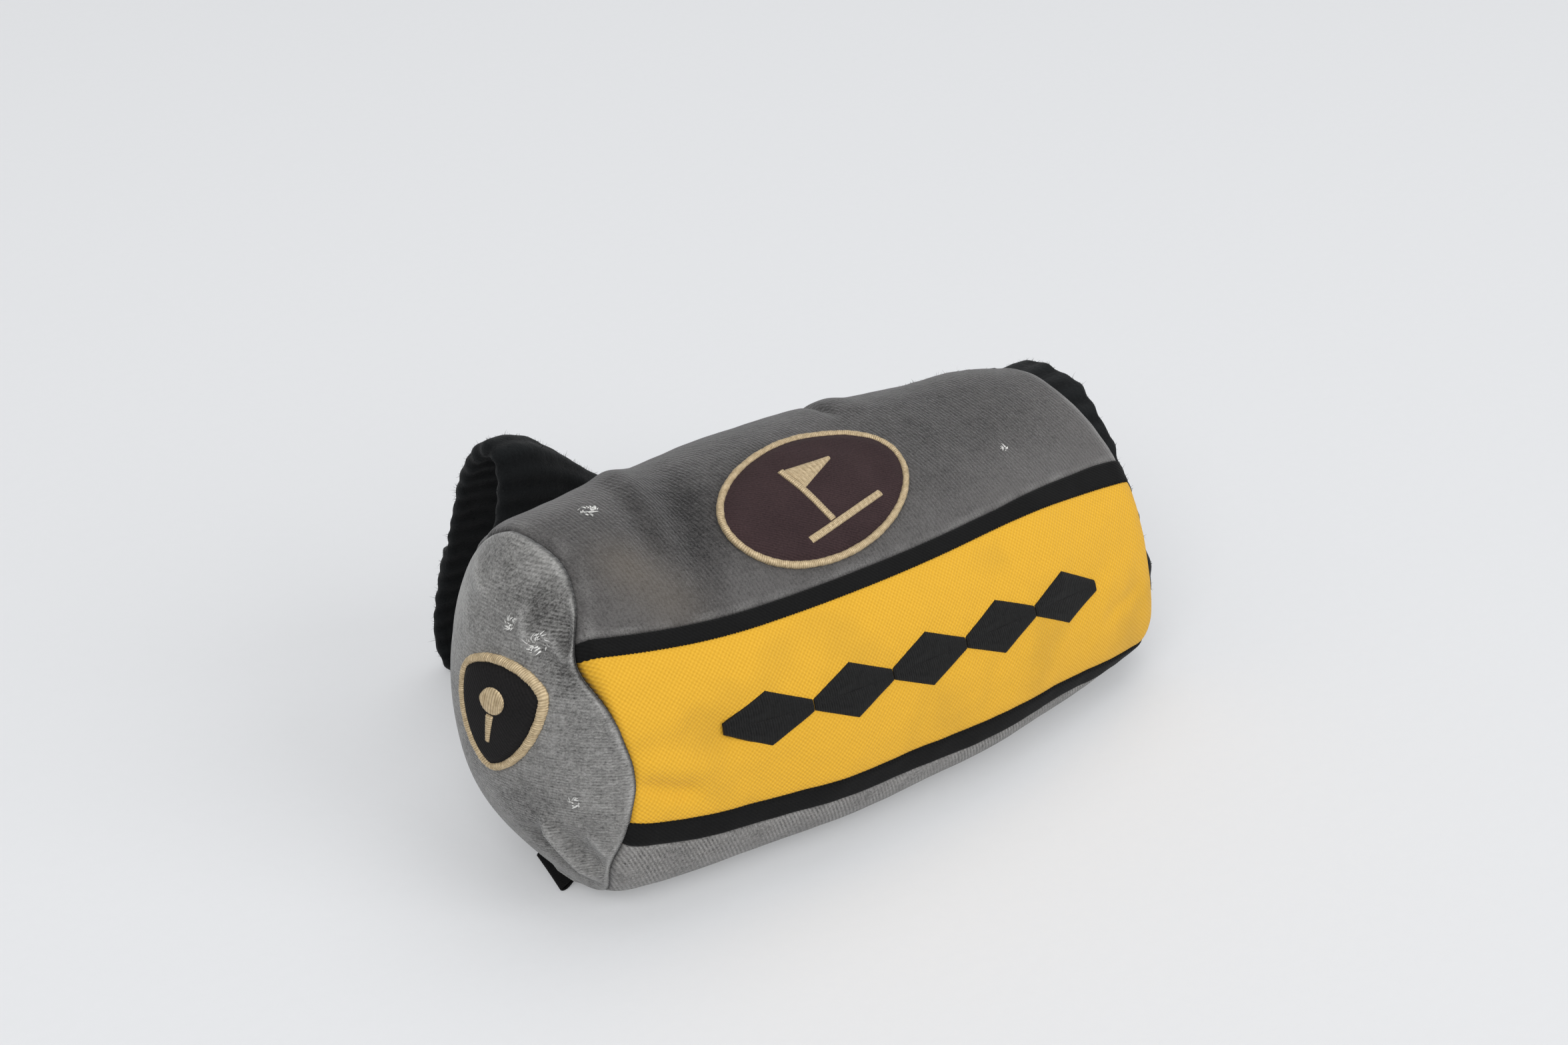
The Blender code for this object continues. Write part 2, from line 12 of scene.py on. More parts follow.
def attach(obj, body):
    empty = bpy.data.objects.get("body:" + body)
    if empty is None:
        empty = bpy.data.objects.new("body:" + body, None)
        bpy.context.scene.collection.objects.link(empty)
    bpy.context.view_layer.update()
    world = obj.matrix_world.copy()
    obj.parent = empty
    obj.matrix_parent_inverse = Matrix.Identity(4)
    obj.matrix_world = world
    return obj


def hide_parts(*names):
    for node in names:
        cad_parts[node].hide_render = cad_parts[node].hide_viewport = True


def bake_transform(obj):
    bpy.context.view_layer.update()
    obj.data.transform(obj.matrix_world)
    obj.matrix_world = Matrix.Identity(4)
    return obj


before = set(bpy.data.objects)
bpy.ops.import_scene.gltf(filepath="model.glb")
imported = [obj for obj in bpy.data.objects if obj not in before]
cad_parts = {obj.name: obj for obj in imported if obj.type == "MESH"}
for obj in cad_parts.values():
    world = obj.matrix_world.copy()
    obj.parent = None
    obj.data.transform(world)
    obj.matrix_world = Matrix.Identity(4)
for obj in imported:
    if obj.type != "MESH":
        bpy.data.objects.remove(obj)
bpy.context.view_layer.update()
MM = 0.001

# The pouch's sizes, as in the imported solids: those in threes are at the toe, the belly and the neck
X_TOE, X_BELLY, X_NECK = -71 * MM, -30.5 * MM, 71 * MM
POUCH_BOTTOM = 1 * MM, -1.5 * MM, 2.2 * MM
POUCH_TOP = 73.5 * MM, 71 * MM, 60 * MM
POUCH_DEPTH = 55.5 * MM, 70 * MM, 58 * MM
POUCH_LEAN = radians(8), radians(13), radians(18.5)
POUCH_SQUARENESS, SQUARENESS_SWING = 2.16, 0.41
POUCH_BACK = 0.9 * MM
TOE_BULGE, TOE_ROUNDNESS, END_GAP = 15.5 * MM, 2.2, 0.15 * MM
STRIPE_TOE_WIDTH, STRIPE_NECK_WIDTH = 35 * MM, 40 * MM
STRIPE_LIFT, STRIPE_TOE_RISE, STRIPE_NECK_DROP = 2.9 * MM, 3.3 * MM, 6.2 * MM
STRIPE_TOE_CURVE, STRIPE_NECK_CURVE = 35 * MM, 50 * MM
TAPE_WIDTH, SEAM_GAP, SOLE_WIDTH = 4.6 * MM, 0.3 * MM, 62 * MM
OVAL_LENGTH, OVAL_WIDTH, OVAL_TURN = 47.5 * MM, 26.2 * MM, radians(12)
OVAL_X, OVAL_ARC = X_TOE + 62.8 * MM, 43.5 * MM
SHIELD_WIDTH, SHIELD_HEIGHT, SHIELD_TAPER = 17 * MM, 19 * MM, 0.11
SHIELD_Y, SHIELD_Z = -6 * MM, 45.5 * MM
BADGE_LIFT, BADGE_THICKNESS = 0.3 * MM, 0.9 * MM
DIAMONDS, DIAMOND_LENGTH, DIAMOND_WIDTH = 5, 20 * MM, 12 * MM

# The sock's sizes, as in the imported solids
X_HINGE, X_ROOT, X_MOUTH = 72.6 * MM, 70 * MM, -51 * MM
SOCK_THICKNESS, SOCK_BODY_HEIGHT, SOCK_MOUTH_HEIGHT = 20.5 * MM, 42 * MM, 67.5 * MM
SOCK_FLARE, SOCK_LEAN, SOCK_SQUARENESS = 44 * MM, radians(19.5), 2.4
SOCK_ROOT_Y, SOCK_SPLAY = 62.476 * MM, 2 * MM
SOCK_ROOT_LIFT, SOCK_DROP = 2.2 * MM, 1.8 * MM
CUFF_INSET, CUFF_SHIFT = 2.4 * MM, (1.8 * MM, 0.9 * MM)
FOLD_CREASE, FOLD_BULGE = 0.6 * MM, 6.8 * MM

# Sizes of the dressing alone: its layers and borders are a little thinner than the solids
CLOTH, PADDING, LINING, ELASTIC = 1.4 * MM, 2.4 * MM, 0.8 * MM, 1.1 * MM
BORDER_WIDTH, BORDER_START = 1.6 * MM, 0.35 * MM
TOE_REACH, RIM_REACH = 33 * MM, 35 * MM  # from the toe's middle to its rim, about
TABLE_CLEAR, PANEL_TUCK, TAPE_TUCK, STRIPE_TUCK = 0.05 * MM, 0.25 * MM, 0.2 * MM, 0.1 * MM
UPPER_OVERHANG, LOWER_OVERHANG = 1.65 * MM, 1.2 * MM
TAPE_STITCH, TAPE_SCALLOP = 0.7 * MM, 0.22 * MM
BADGE_CLOTH, STITCHED_WALL = 0.7 * MM, 0.4 * MM
BORDER_MIDDLE, BORDER_RISE = 0.45 * MM, 0.8 * MM
MOUTH_WALL, X_CUFF_START, X_FLARE, X_INNER_END = 3 * MM, 68 * MM, -20 * MM, 40 * MM


def linear(code):
    """An sRGB hex colour as the linear RGBA that shaders take."""
    parts = [int(code[k : k + 2], 16) / 255 for k in (1, 3, 5)]
    return (*[c / 12.92 if c <= 0.04045 else ((c + 0.055) / 1.055) ** 2.4 for c in parts], 1)


# The pouch's surface


def along(x, toe, belly, neck):
    """A size that runs smoothly through its values at the toe, the belly and the neck."""
    from_toe = (x - X_BELLY) * (x - X_NECK) / ((X_TOE - X_BELLY) * (X_TOE - X_NECK))
    from_belly = (x - X_TOE) * (x - X_NECK) / ((X_BELLY - X_TOE) * (X_BELLY - X_NECK))
    from_neck = (x - X_TOE) * (x - X_BELLY) / ((X_NECK - X_TOE) * (X_NECK - X_BELLY))
    return toe * from_toe + belly * from_belly + neck * from_neck


def rounded(turn, squareness):
    """A superellipse of unit half axes."""
    side = np.sign(np.cos(turn)) * np.abs(np.cos(turn)) ** (2 / squareness)
    rise = np.sign(np.sin(turn)) * np.abs(np.sin(turn)) ** (2 / squareness)
    return side, rise


def barrel_reach(turn):
    """Reach of the pouch's section for unit half axes: squarer low at the front, rounder high at the back."""
    squareness = POUCH_SQUARENESS + SQUARENESS_SWING * np.cos(turn + pi / 4)
    return (np.abs(np.cos(turn)) ** squareness + np.abs(np.sin(turn)) ** squareness) ** (-1 / squareness)


def pouch_frame(x):
    """Half depth, half height, middle's height and lean of the pouch's section at x."""
    bottom, top = along(x, *POUCH_BOTTOM), along(x, *POUCH_TOP)
    half_depth = along(x, *POUCH_DEPTH) / 2
    return half_depth, (top - bottom) / 2, (top + bottom) / 2, np.tan(along(x, *POUCH_LEAN))


def measured(y, z, steps):
    """Length of a closed outline, and its points and outward normals at even steps along it."""
    points = np.column_stack([y, z])
    arc = np.concatenate([[0], np.cumsum(np.linalg.norm(np.diff(points, axis=0), axis=1))])
    even = np.linspace(0, arc[-1], steps + 1)
    points = np.column_stack([np.interp(even, arc, points[:, k]) for k in (0, 1)])
    run = np.roll(points[:-1], -1, axis=0) - np.roll(points[:-1], 1, axis=0)
    run /= np.linalg.norm(run, axis=1)[:, None]
    run = np.vstack([run, run[:1]])
    normal = np.column_stack([run[:, 1], -run[:, 0]])
    if ((points - points[:-1].mean(axis=0)) * normal).sum() < 0:
        normal = -normal
    return arc[-1], np.column_stack([points, normal])


SECTION_STEPS, TABLE_STEPS = 720, 140
TURN = np.linspace(0, 2 * pi, 2881)


def pouch_table():
    """Girths and outlines of the pouch at even stations from the toe seam to the neck seam."""
    girths, outlines = [], []
    for x in np.linspace(X_TOE, X_NECK, TABLE_STEPS + 1):
        half_depth, half_height, middle, lean = pouch_frame(x)
        reach = barrel_reach(TURN)
        z = middle + half_height * reach * np.sin(TURN)
        y = POUCH_BACK + lean * z - half_depth * reach * np.cos(TURN)
        length, outline = measured(y, np.maximum(z, 0), SECTION_STEPS)
        girths.append(length)
        outlines.append(outline)
    return np.array(girths), np.array(outlines)


GIRTHS, OUTLINES = pouch_table()


def girth(x):
    return np.interp(x, np.linspace(X_TOE, X_NECK, TABLE_STEPS + 1), GIRTHS)


def on_pouch(x, s, height=0.0):
    """Points of the pouch's skin at x, an arc s up from the front's half height, raised by height."""
    row = np.clip((x - X_TOE) / (X_NECK - X_TOE), 0, 1) * TABLE_STEPS
    column = (s / girth(x) % 1) * SECTION_STEPS
    r, c = np.minimum(row.astype(int), TABLE_STEPS - 1), np.minimum(column.astype(int), SECTION_STEPS - 1)
    fr, fc = (row - r)[..., None], (column - c)[..., None]
    low = OUTLINES[r, c] * (1 - fc) + OUTLINES[r, c + 1] * fc
    high = OUTLINES[r + 1, c] * (1 - fc) + OUTLINES[r + 1, c + 1] * fc
    y, z, ny, nz = np.moveaxis(low * (1 - fr) + high * fr, -1, 0)
    # Past the toe seam the skin turns in with the dome, and it stays above the table
    over_rim = np.clip((X_TOE - x) / TOE_BULGE, 0, 0.9)
    height = height - RIM_REACH * (1 - (1 - over_rim) ** (1 / TOE_ROUNDNESS))
    return np.stack([x, y + height * ny, np.maximum(z + height * nz, TABLE_CLEAR)], axis=-1)


# Where the toe seam strays from its plane: the middle of an arc, its reach and how far, in millimetres
SEAM_STRAYS = ((43.5, 9, 2.9), (23, 9, -2.8), (-1, 7, 1.7), (-24, 9, -2.2), (70, 14, -0.9), (105, 16, 1.0))
TOE_ROUND = GIRTHS[0] / MM


def seam_wander(s):
    """How far along X the toe seam strays from its plane, at an arc round the pouch."""
    strayed = 0
    for middle, reach, far in SEAM_STRAYS:
        away = ((s / MM - middle) / TOE_ROUND + 0.5) % 1 * TOE_ROUND - TOE_ROUND / 2
        strayed = strayed + far * MM * np.exp(-((away / reach) ** 2))
    return strayed


def stripe_middle(x):
    """The stripe's middle line, which rises towards the toe and drops towards the neck."""
    near_toe = np.clip((X_TOE + STRIPE_TOE_CURVE - x) / STRIPE_TOE_CURVE, 0, None)
    near_neck = np.clip((x - X_NECK + STRIPE_NECK_CURVE) / STRIPE_NECK_CURVE, 0, None)
    return STRIPE_LIFT + STRIPE_TOE_RISE * near_toe**2 - STRIPE_NECK_DROP * near_neck**2


def stripe_edge(x, side, beyond):
    """A line along the pouch, this far past the stripe's upper (1) or lower (-1) edge."""
    width = STRIPE_TOE_WIDTH + (STRIPE_NECK_WIDTH - STRIPE_TOE_WIDTH) * (x - X_TOE) / (X_NECK - X_TOE)
    return stripe_middle(x) + side * (width / 2 + beyond)


TOE_HALF_DEPTH, TOE_HALF_HEIGHT, TOE_MIDDLE, TOE_LEAN = pouch_frame(X_TOE)
TOE_Y = POUCH_BACK + TOE_MIDDLE * TOE_LEAN


def toe_share(y, z):
    """How far a point of the toe dome is from its middle, as a share of the way to the seam."""
    side, rise = (POUCH_BACK + z * TOE_LEAN - y) / TOE_HALF_DEPTH, (z - TOE_MIDDLE) / TOE_HALF_HEIGHT
    return np.minimum(np.hypot(side, rise) / barrel_reach(np.arctan2(rise, side)), 1)


def on_toe(y, z, height=0.0):
    """Points of the toe's dome, raised by height."""
    share = toe_share(y, z)
    x = X_TOE - END_GAP - TOE_BULGE * (1 - share**TOE_ROUNDNESS) - height
    return np.stack([x, y, z], axis=-1)


def toe_spokes(rim, share):
    """Y and Z at a share of the way from the toe's middle to points of its rim."""
    return TOE_Y + share * (rim[:, 1] - TOE_Y), TOE_MIDDLE + share * (rim[:, 2] - TOE_MIDDLE)


# Folds, dents and wear


def uneven(a, b, size, seed):
    """Smooth unevenness between about -1 and 1, with humps of about this size."""
    chance = np.random.default_rng(seed)
    total = 0
    for _ in range(8):
        way = chance.uniform(0, 2 * pi)
        pitch = size * chance.uniform(0.7, 1.8)
        shift = chance.uniform(0, 2 * pi)
        total = total + np.sin(2 * pi * (a * np.cos(way) + b * np.sin(way)) / pitch + shift)
    return total / 4


def seam_roll(distance, depth, reach):
    """How far cloth has sunk at this distance from a seam that it rolls into."""
    short = 1 - np.clip(distance / reach, 0, 1)
    return depth * (1 - np.sqrt(1 - short**2))


def crease(a, b, start, end, width, taper=0.25):
    """1 along a line between two points, falling off sideways and towards its ends."""
    run = np.subtract(end, start)
    length = np.hypot(*run)
    run = run / length
    on = (a - start[0]) * run[0] + (b - start[1]) * run[1]
    off = (b - start[1]) * run[0] - (a - start[0]) * run[1]
    ends = np.clip(on / (taper * length), 0, 1) * np.clip((length - on) / (taper * length), 0, 1)
    return np.exp(-((off / width) ** 2)) * ends


def spot(a, b, middle, size):
    """1 at a point, falling off round it."""
    return np.exp(-(((a - middle[0]) / size) ** 2) - ((b - middle[1]) / size) ** 2)


def band(distance, middle, reach):
    """1 at one distance from a seam, falling off to both sides of it."""
    return np.exp(-(((distance - middle) / reach) ** 2))


def creases(a, b, table):
    """Creases added up: for each its height, its start, end and width in millimetres, and any taper."""
    return sum(height * crease(a / MM, b / MM, *run) for height, *run in table)


def spots(a, b, table):
    """Patches added up: for each its strength, and its middle and size in millimetres."""
    return sum(strength * spot(a / MM, b / MM, *patch) for strength, *patch in table)


# Pieces


def show(mesh, look, body="pouch", replaces=(), slot=None, thickness=None):
    """A finished mesh as a piece that rides on a body, with its wall turned inwards if it has a thickness."""
    piece = bpy.data.objects.new(mesh.name, mesh)
    bpy.context.scene.collection.objects.link(piece)
    mesh.materials.clear()
    mesh.materials.append(look)
    mesh.polygons.foreach_set("use_smooth", np.ones(len(mesh.polygons), bool))
    if thickness:
        wall = piece.modifiers.new("wall", "SOLIDIFY")
        wall.thickness, wall.offset = thickness, -1
    if body:
        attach(piece, body)
    if replaces:
        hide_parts(*replaces)
    return piece


def cloth(name, across, lengthways, place, uv, marks=None, rings="", inside=None):
    """A mesh grid laid by place(u, v); rings names the ways ("u", "v") in which it closes on itself.

    uv gives the weave's coordinates in metres, marks named values for the material at each point,
    and inside a point that the faces turn away from.
    """
    bm = bmesh.new()
    bmesh.ops.create_grid(bm, x_segments=across, y_segments=lengthways, size=0.5)
    mesh = bpy.data.meshes.new(name)
    bm.to_mesh(mesh)
    flat = np.empty(len(mesh.vertices) * 3)
    mesh.vertices.foreach_get("co", flat)
    u, v = flat.reshape(-1, 3)[:, 0] + 0.5, flat.reshape(-1, 3)[:, 1] + 0.5
    mesh.vertices.foreach_set("co", place(u, v).ravel())
    corner = np.empty(len(mesh.loops), int)
    mesh.loops.foreach_get("vertex_index", corner)
    layer = mesh.uv_layers.new(name="weave")
    layer.data.foreach_set("uv", np.stack(uv(u, v), axis=-1)[corner].ravel())
    for mark, values in (marks(u, v) if marks else {}).items():
        kept = mesh.attributes.new(mark, "FLOAT", "POINT")
        kept.data.foreach_set("value", np.clip(values, 0, 1).astype(np.float32))
    bm.clear()
    bm.from_mesh(mesh)
    if rings:
        bmesh.ops.remove_doubles(bm, verts=bm.verts, dist=1e-7)
        bmesh.ops.recalc_face_normals(bm, faces=bm.faces)
    bm.normal_update()
    if inside is not None:
        facing = sum((f.calc_center_median() - Vector(inside)).dot(f.normal) for f in bm.faces)
        if facing < 0:
            bmesh.ops.reverse_faces(bm, faces=bm.faces)
    bm.to_mesh(mesh)
    bm.free()
    return mesh


def joined(name, meshes):
    bm = bmesh.new()
    for mesh in meshes:
        bm.from_mesh(mesh)
    made = bpy.data.meshes.new(name)
    bm.to_mesh(made)
    bm.free()
    return made


def disc(u, v):
    """A square grid rounded to a disc: share of the way to the rim, and turn."""
    a, b = 2 * u - 1, 2 * v - 1
    a, b = a * np.sqrt(1 - b**2 / 2), b * np.sqrt(1 - a**2 / 2)
    return np.hypot(a, b), np.arctan2(b, a) % (2 * pi)


POUCH_MIDDLE = (0, 12 * MM, 36 * MM)


def pouch_panel(name, low, high, across, height, marks=None, lengthways=220):
    """Cloth of the pouch between two lines along it, raised by height(x, s, low, high)."""

    def spread(u, v):
        x = X_TOE + END_GAP + (X_NECK - X_TOE - 2 * END_GAP) * u
        s = low(x) + (high(x) - low(x)) * v
        near_toe = np.clip(1 - (x - X_TOE) / (26 * MM), 0, 1) ** 2
        return x + seam_wander(s) * near_toe, s

    def place(u, v):
        x, s = spread(u, v)
        return on_pouch(x, s, height(x, s, s - low(x), high(x) - s))

    def noted(u, v):
        x, s = spread(u, v)
        return marks(x, s, s - low(x), high(x) - s) if marks else {}

    return cloth(name, lengthways, across, place, spread, noted, inside=POUCH_MIDDLE)


TAPE_END = SEAM_GAP + TAPE_WIDTH
PANEL_START = TAPE_END + SEAM_GAP
SOLE_END = PANEL_START + SOLE_WIDTH


def overhang(x, side):
    """How far the pile hangs over a tape: over the upper one (1) but for the neck, over the lower near it."""
    if side > 0:
        return UPPER_OVERHANG * np.clip((62 * MM - x) / (32 * MM), 0, 1)
    return LOWER_OVERHANG * np.clip((x - 8 * MM) / (30 * MM), 0, 1)


def from_toe_seam(x, s):
    return np.clip(x - X_TOE - seam_wander(s), 0, None)


def end_rolls(x, s):
    """The cloth sinks into the toe seam and turns in at the neck."""
    at_toe = seam_roll(from_toe_seam(x, s), depth=1.5 * MM, reach=5 * MM)
    return at_toe + seam_roll(X_NECK - x, depth=1.9 * MM, reach=4.5 * MM)


# Humps in the padded cloth: their height and size in millimetres, and a seed
SLACK = ((0.45, 46, 3), (0.24, 19, 4), (0.07, 7, 5))


def broad_folds(x, s):
    """Slack in the padded cloth, the same for every layer."""
    return sum(height * MM * uneven(x, s, size * MM, seed) for height, size, seed in SLACK)


# On the crown, by x and arc: a pinched fold over the back and hollows beside the toe, strokes and
# patches of painted shade (-) and painted light from how the pile leans and the light falls, and stains
CROWN_FOLDS = (
    (-1.5, (13, 62), (17.5, 92), 1.3),
    (0.8, (18, 60), (23, 96), 4),
    (-1.1, (-46, 22), (-29, 78), 4.5),
    (0.8, (-47, 42), (-36, 92), 3.5),
    (-0.6, (-51, 34), (-45, 70), 3),
)
CROWN_STROKES = ((-0.15, (-51, 36), (-44, 62), 3), (-0.36, (-48, 16), (-33, 68), 6))
CROWN_PATCHES = (
    (-0.08, (-15, 56), 26),
    (-0.12, (-40, 64), 8),
    (0.1, (-58, 40), 9),
    (0.32, (-57, 64), 11),
    (0.28, (67, 38), 11),
)
CROWN_STAINS = ((0.26, (-57, 39), 6), (0.2, (-52, 30), 7))


def crown_height(x, s, from_low, from_high):
    raised = broad_folds(x, s) - end_rolls(x, s)
    raised -= seam_roll(from_low, depth=0.5 * MM, reach=2.5 * MM)
    raised -= seam_roll(from_high, depth=1.1 * MM, reach=3.5 * MM)
    puckers = np.exp(-from_toe_seam(x, s) / (8 * MM)) * uneven(s, s, 7 * MM, 7)
    return raised + MM * creases(x, s, CROWN_FOLDS) + 0.3 * MM * puckers


def velour_marks(x, s, from_low, from_high):
    """Painted light and shade for how the pile leans and the light falls, with a little random tone; where
    the pile is rubbed pale; painted shade in the toe seam's groove; and stains.
    """
    toe_seam = from_toe_seam(x, s)
    edges = np.minimum(from_low, from_high)
    rubbed_and_highlit = 0.2 * band(edges, 0.9 * MM, 0.7 * MM) * (0.55 + 0.45 * uneven(x, s, 6 * MM, 9))
    rubbed_and_highlit += 0.34 * band(X_NECK - x, 1.2 * MM, 1.1 * MM) * (0.6 + 0.4 * uneven(x, s, 7 * MM, 11))
    rubbed_and_highlit += 0.15 * band(toe_seam, 2.6 * MM, 1.4 * MM) * (0.5 + 0.5 * uneven(x, s, 5 * MM, 10))
    # The pile's value paints light and shade: painted light near the crown's lower edge and in the lighter
    # patches, painted shade in the strokes and darker patches
    nap_and_painted_light = 0.5 + 0.1 * uneven(x, s, 40 * MM, 8) + 0.38 * band(from_low, 3 * MM, 9 * MM)
    nap_and_painted_light += creases(x, s, CROWN_STROKES) + spots(x, s, CROWN_PATCHES)
    # Painted shade in the groove of the toe seam
    seam_shade = 0.8 * band(toe_seam, 0, 0.4 * MM)
    return {"nap_and_painted_light": nap_and_painted_light, "rubbed_and_highlit": rubbed_and_highlit, "seam_shade": seam_shade, "stain": spots(x, s, CROWN_STAINS)}


def sole_height(x, s, from_low, from_high):
    raised = broad_folds(x, s) * 0.6 - end_rolls(x, s)
    raised -= seam_roll(from_low, depth=1.1 * MM, reach=3.5 * MM)
    return raised - seam_roll(from_high, depth=0.5 * MM, reach=2.5 * MM)


# On the stripe, by x and arc: folds gathered at the toe seam and a slack pull towards the neck
STRIPE_FOLDS = (
    (-1.1, (-70, -3), (-55, -9), 2.2),
    (0.6, (-70, 2), (-50, -5), 2.6),
    (-0.6, (-60, 9), (-44, -2), 4),
    (-0.5, (51, -8), (67, -5), 2),
    (0.4, (50, -2), (68, 2), 3),
)


def stripe_height(x, s, from_low, from_high):
    raised = broad_folds(x, s) - end_rolls(x, s) + MM * creases(x, s, STRIPE_FOLDS)
    for edge in (from_low, from_high):
        raised -= seam_roll(edge, depth=0.35 * MM, reach=2 * MM)
    puckers = np.exp(-from_toe_seam(x, s) / (10 * MM)) * uneven(s, s * 0.3, 10 * MM, 12)
    return raised + 0.4 * MM * puckers


def stripe_marks(x, s, *_):
    # Painted shade where the canvas sinks into the toe seam
    return {"seam_shade": 0.8 * band(from_toe_seam(x, s), 0, 0.8 * MM)}


def tape_height(x, s, from_low, from_high):
    crowned = np.clip(np.minimum(from_low, from_high) / (0.5 * MM), 0, 1) ** 0.5
    return broad_folds(x, s) - end_rolls(x, s) + 0.4 * MM * crowned - 0.1 * MM


def build_pouch(looks):
    def panel_edge(side):
        """The edge that a grey panel has beside a tape."""
        return lambda x: stripe_edge(x, side, PANEL_START - PANEL_TUCK - overhang(x, side))

    def sole_seam(x):
        return stripe_edge(x, -1, SOLE_END)

    def back_seam(x):
        return sole_seam(x) + girth(x)

    def canvas_edge(side):
        return lambda x: stripe_edge(x, side, STRIPE_TUCK)

    crown = pouch_panel("crown_cloth", panel_edge(1), back_seam, 170, crown_height, velour_marks)
    sole = pouch_panel("sole_cloth", sole_seam, panel_edge(-1), 80, sole_height, velour_marks)
    stripe = pouch_panel("stripe_cloth", canvas_edge(-1), canvas_edge(1), 70, stripe_height, stripe_marks)
    for mesh, look, solid, slot in (
        (crown, looks["velour"], "crown_panel", "grey_velour"),
        (sole, looks["sole"], "sole_panel", "grey_velour"),
        (stripe, looks["canvas"], "stripe_panel", "yellow_canvas"),
    ):
        show(mesh, look, replaces=[solid], slot=slot, thickness=CLOTH)
    for name, side in (("upper", 1), ("lower", -1)):

        def stitched(x, side=side):
            """The edge that is oversewn to the canvas, a scallop for each stitch."""
            return stripe_edge(x, side, -TAPE_SCALLOP * np.abs(np.sin(pi * x / TAPE_STITCH)))

        def outer(x, side=side):
            return stripe_edge(x, side, TAPE_END + TAPE_TUCK - overhang(x, side))

        low, high = (stitched, outer) if side > 0 else (outer, stitched)
        tape = pouch_panel(f"{name}_binding", low, high, 12, tape_height, lengthways=820)
        show(tape, looks["tape"], replaces=[f"{name}_tape"], slot="black_tape", thickness=CLOTH)


# On the toe panel, by y and z: sharp creases that stand up, the hollows and dents beside them, and
# strokes and patches of painted shade (-) and painted light from how the pile leans and the light falls
TOE_RIDGES = (
    (1.0, (-3, 62), (-11.5, 57), 1.0),
    (0.6, (2.5, 65), (-3, 58), 1.3),
    (2.2, (-9.5, 27), (-16.4, 8.5), 1.3),
    (0.5, (-17, 23.5), (-19.5, 17), 1.0),
    (0.6, (-3, 7.5), (-7, 2.8), 1.0),
    (0.8, (21, 66.5), (9, 63), 1.8),
)
TOE_HOLLOWS = (
    (-1.6, (-6, 23), (-13, 7), 2.0),
    (-0.9, (-13, 25), (-18.5, 11), 2.0),
    (-0.7, (23, 60), (24, 30), 1.6),
)
TOE_DENTS = ((-1.6, (-8, 61.8), 4.2), (-0.6, (9, 61), 4))
TOE_STROKES = ((-0.34, (4, 69.5), (-17, 54), 3.4, 0.2), (-0.4, (-7, 22), (-13.8, 8), 1.6))
TOE_PATCHES = ((0.3, (23, 56), 11), (-0.12, (-14, 24), 10))


def toe_folds(y, z):
    """Slack, dents and creases in the toe panel, as a height."""
    to_rim = (1 - toe_share(y, z)) * TOE_REACH
    raised = 0.5 * MM * uneven(y, z, 30 * MM, 21) * np.clip(to_rim / (6 * MM), 0, 1)
    return raised + MM * (creases(y, z, TOE_RIDGES + TOE_HOLLOWS) + spots(y, z, TOE_DENTS))


def build_toe(looks):
    def spread(u, v):
        share, turn = disc(u, v)
        s = GIRTHS[0] * turn / (2 * pi)
        return *toe_spokes(on_pouch(X_TOE + seam_wander(s), s), share), share, s

    def place(u, v):
        y, z, share, s = spread(u, v)
        to_rim = (1 - share) * TOE_REACH
        points = on_toe(y, z, toe_folds(y, z) * np.clip(to_rim / (2 * MM), 0, 1))
        pinch = 1 - seam_roll(to_rim, depth=0.6 * MM, reach=1.2 * MM) / TOE_REACH
        points[:, 1], points[:, 2] = toe_spokes(points, pinch)
        points[:, 0] += seam_roll(to_rim, depth=0.6 * MM, reach=2 * MM)
        points[:, 0] += np.clip(seam_wander(s), 0, None) * share**8
        return points

    def marks(u, v):
        y, z, share, _ = spread(u, v)
        to_rim = (1 - share) * TOE_REACH
        rubbed_and_highlit = 0.6 * band(to_rim, 0.5 * MM, 0.35 * MM) * (0.6 + 0.4 * uneven(y, z, 6 * MM, 23))
        # A painted highlight along each ridge, added to the rubbed pale rim
        rubbed_and_highlit += creases(y, z, [(0.36, start, end, width / 2) for _, start, end, width in TOE_RIDGES])
        # The pile's value paints shade in the dent and in the hollows beside the ridges, and painted light in
        # one patch on the toe's side
        nap_and_painted_light = 0.5 + 0.1 * uneven(y, z, 22 * MM, 24) + creases(y, z, TOE_STROKES) + spots(y, z, TOE_PATCHES)
        # Painted shade in the groove at the toe's rim
        return {"nap_and_painted_light": nap_and_painted_light, "rubbed_and_highlit": rubbed_and_highlit, "seam_shade": band(to_rim, 0, 0.3 * MM), "stain": np.zeros_like(y)}

    toe = cloth("toe_cloth", 150, 150, place, lambda u, v: spread(u, v)[:2], marks, inside=POUCH_MIDDLE)
    show(toe, looks["toe"], replaces=["toe_panel"], slot="grey_velour", thickness=CLOTH)


# The knit sock
AROUND, RIBS, RIB_PITCH, FIBRES = 224, 32, 4 * MM, 14000


def ring(outline, x, depth=0.0, shift=(0, 0)):
    """An outline's points at one x, moved in by depth and shifted in Y and Z."""
    y, z, ny, nz = outline[:-1].T
    return np.stack([np.full_like(y, x), y - depth * ny + shift[0], z - depth * nz + shift[1]], axis=-1)


def cuff_ring(x):
    even, steps = np.linspace(0, 1, AROUND + 1), np.linspace(0, 1, SECTION_STEPS + 1)
    outline = np.stack([np.interp(even, steps, column) for column in OUTLINES[-1].T], axis=-1)
    return ring(outline, x, CUFF_INSET, CUFF_SHIFT)


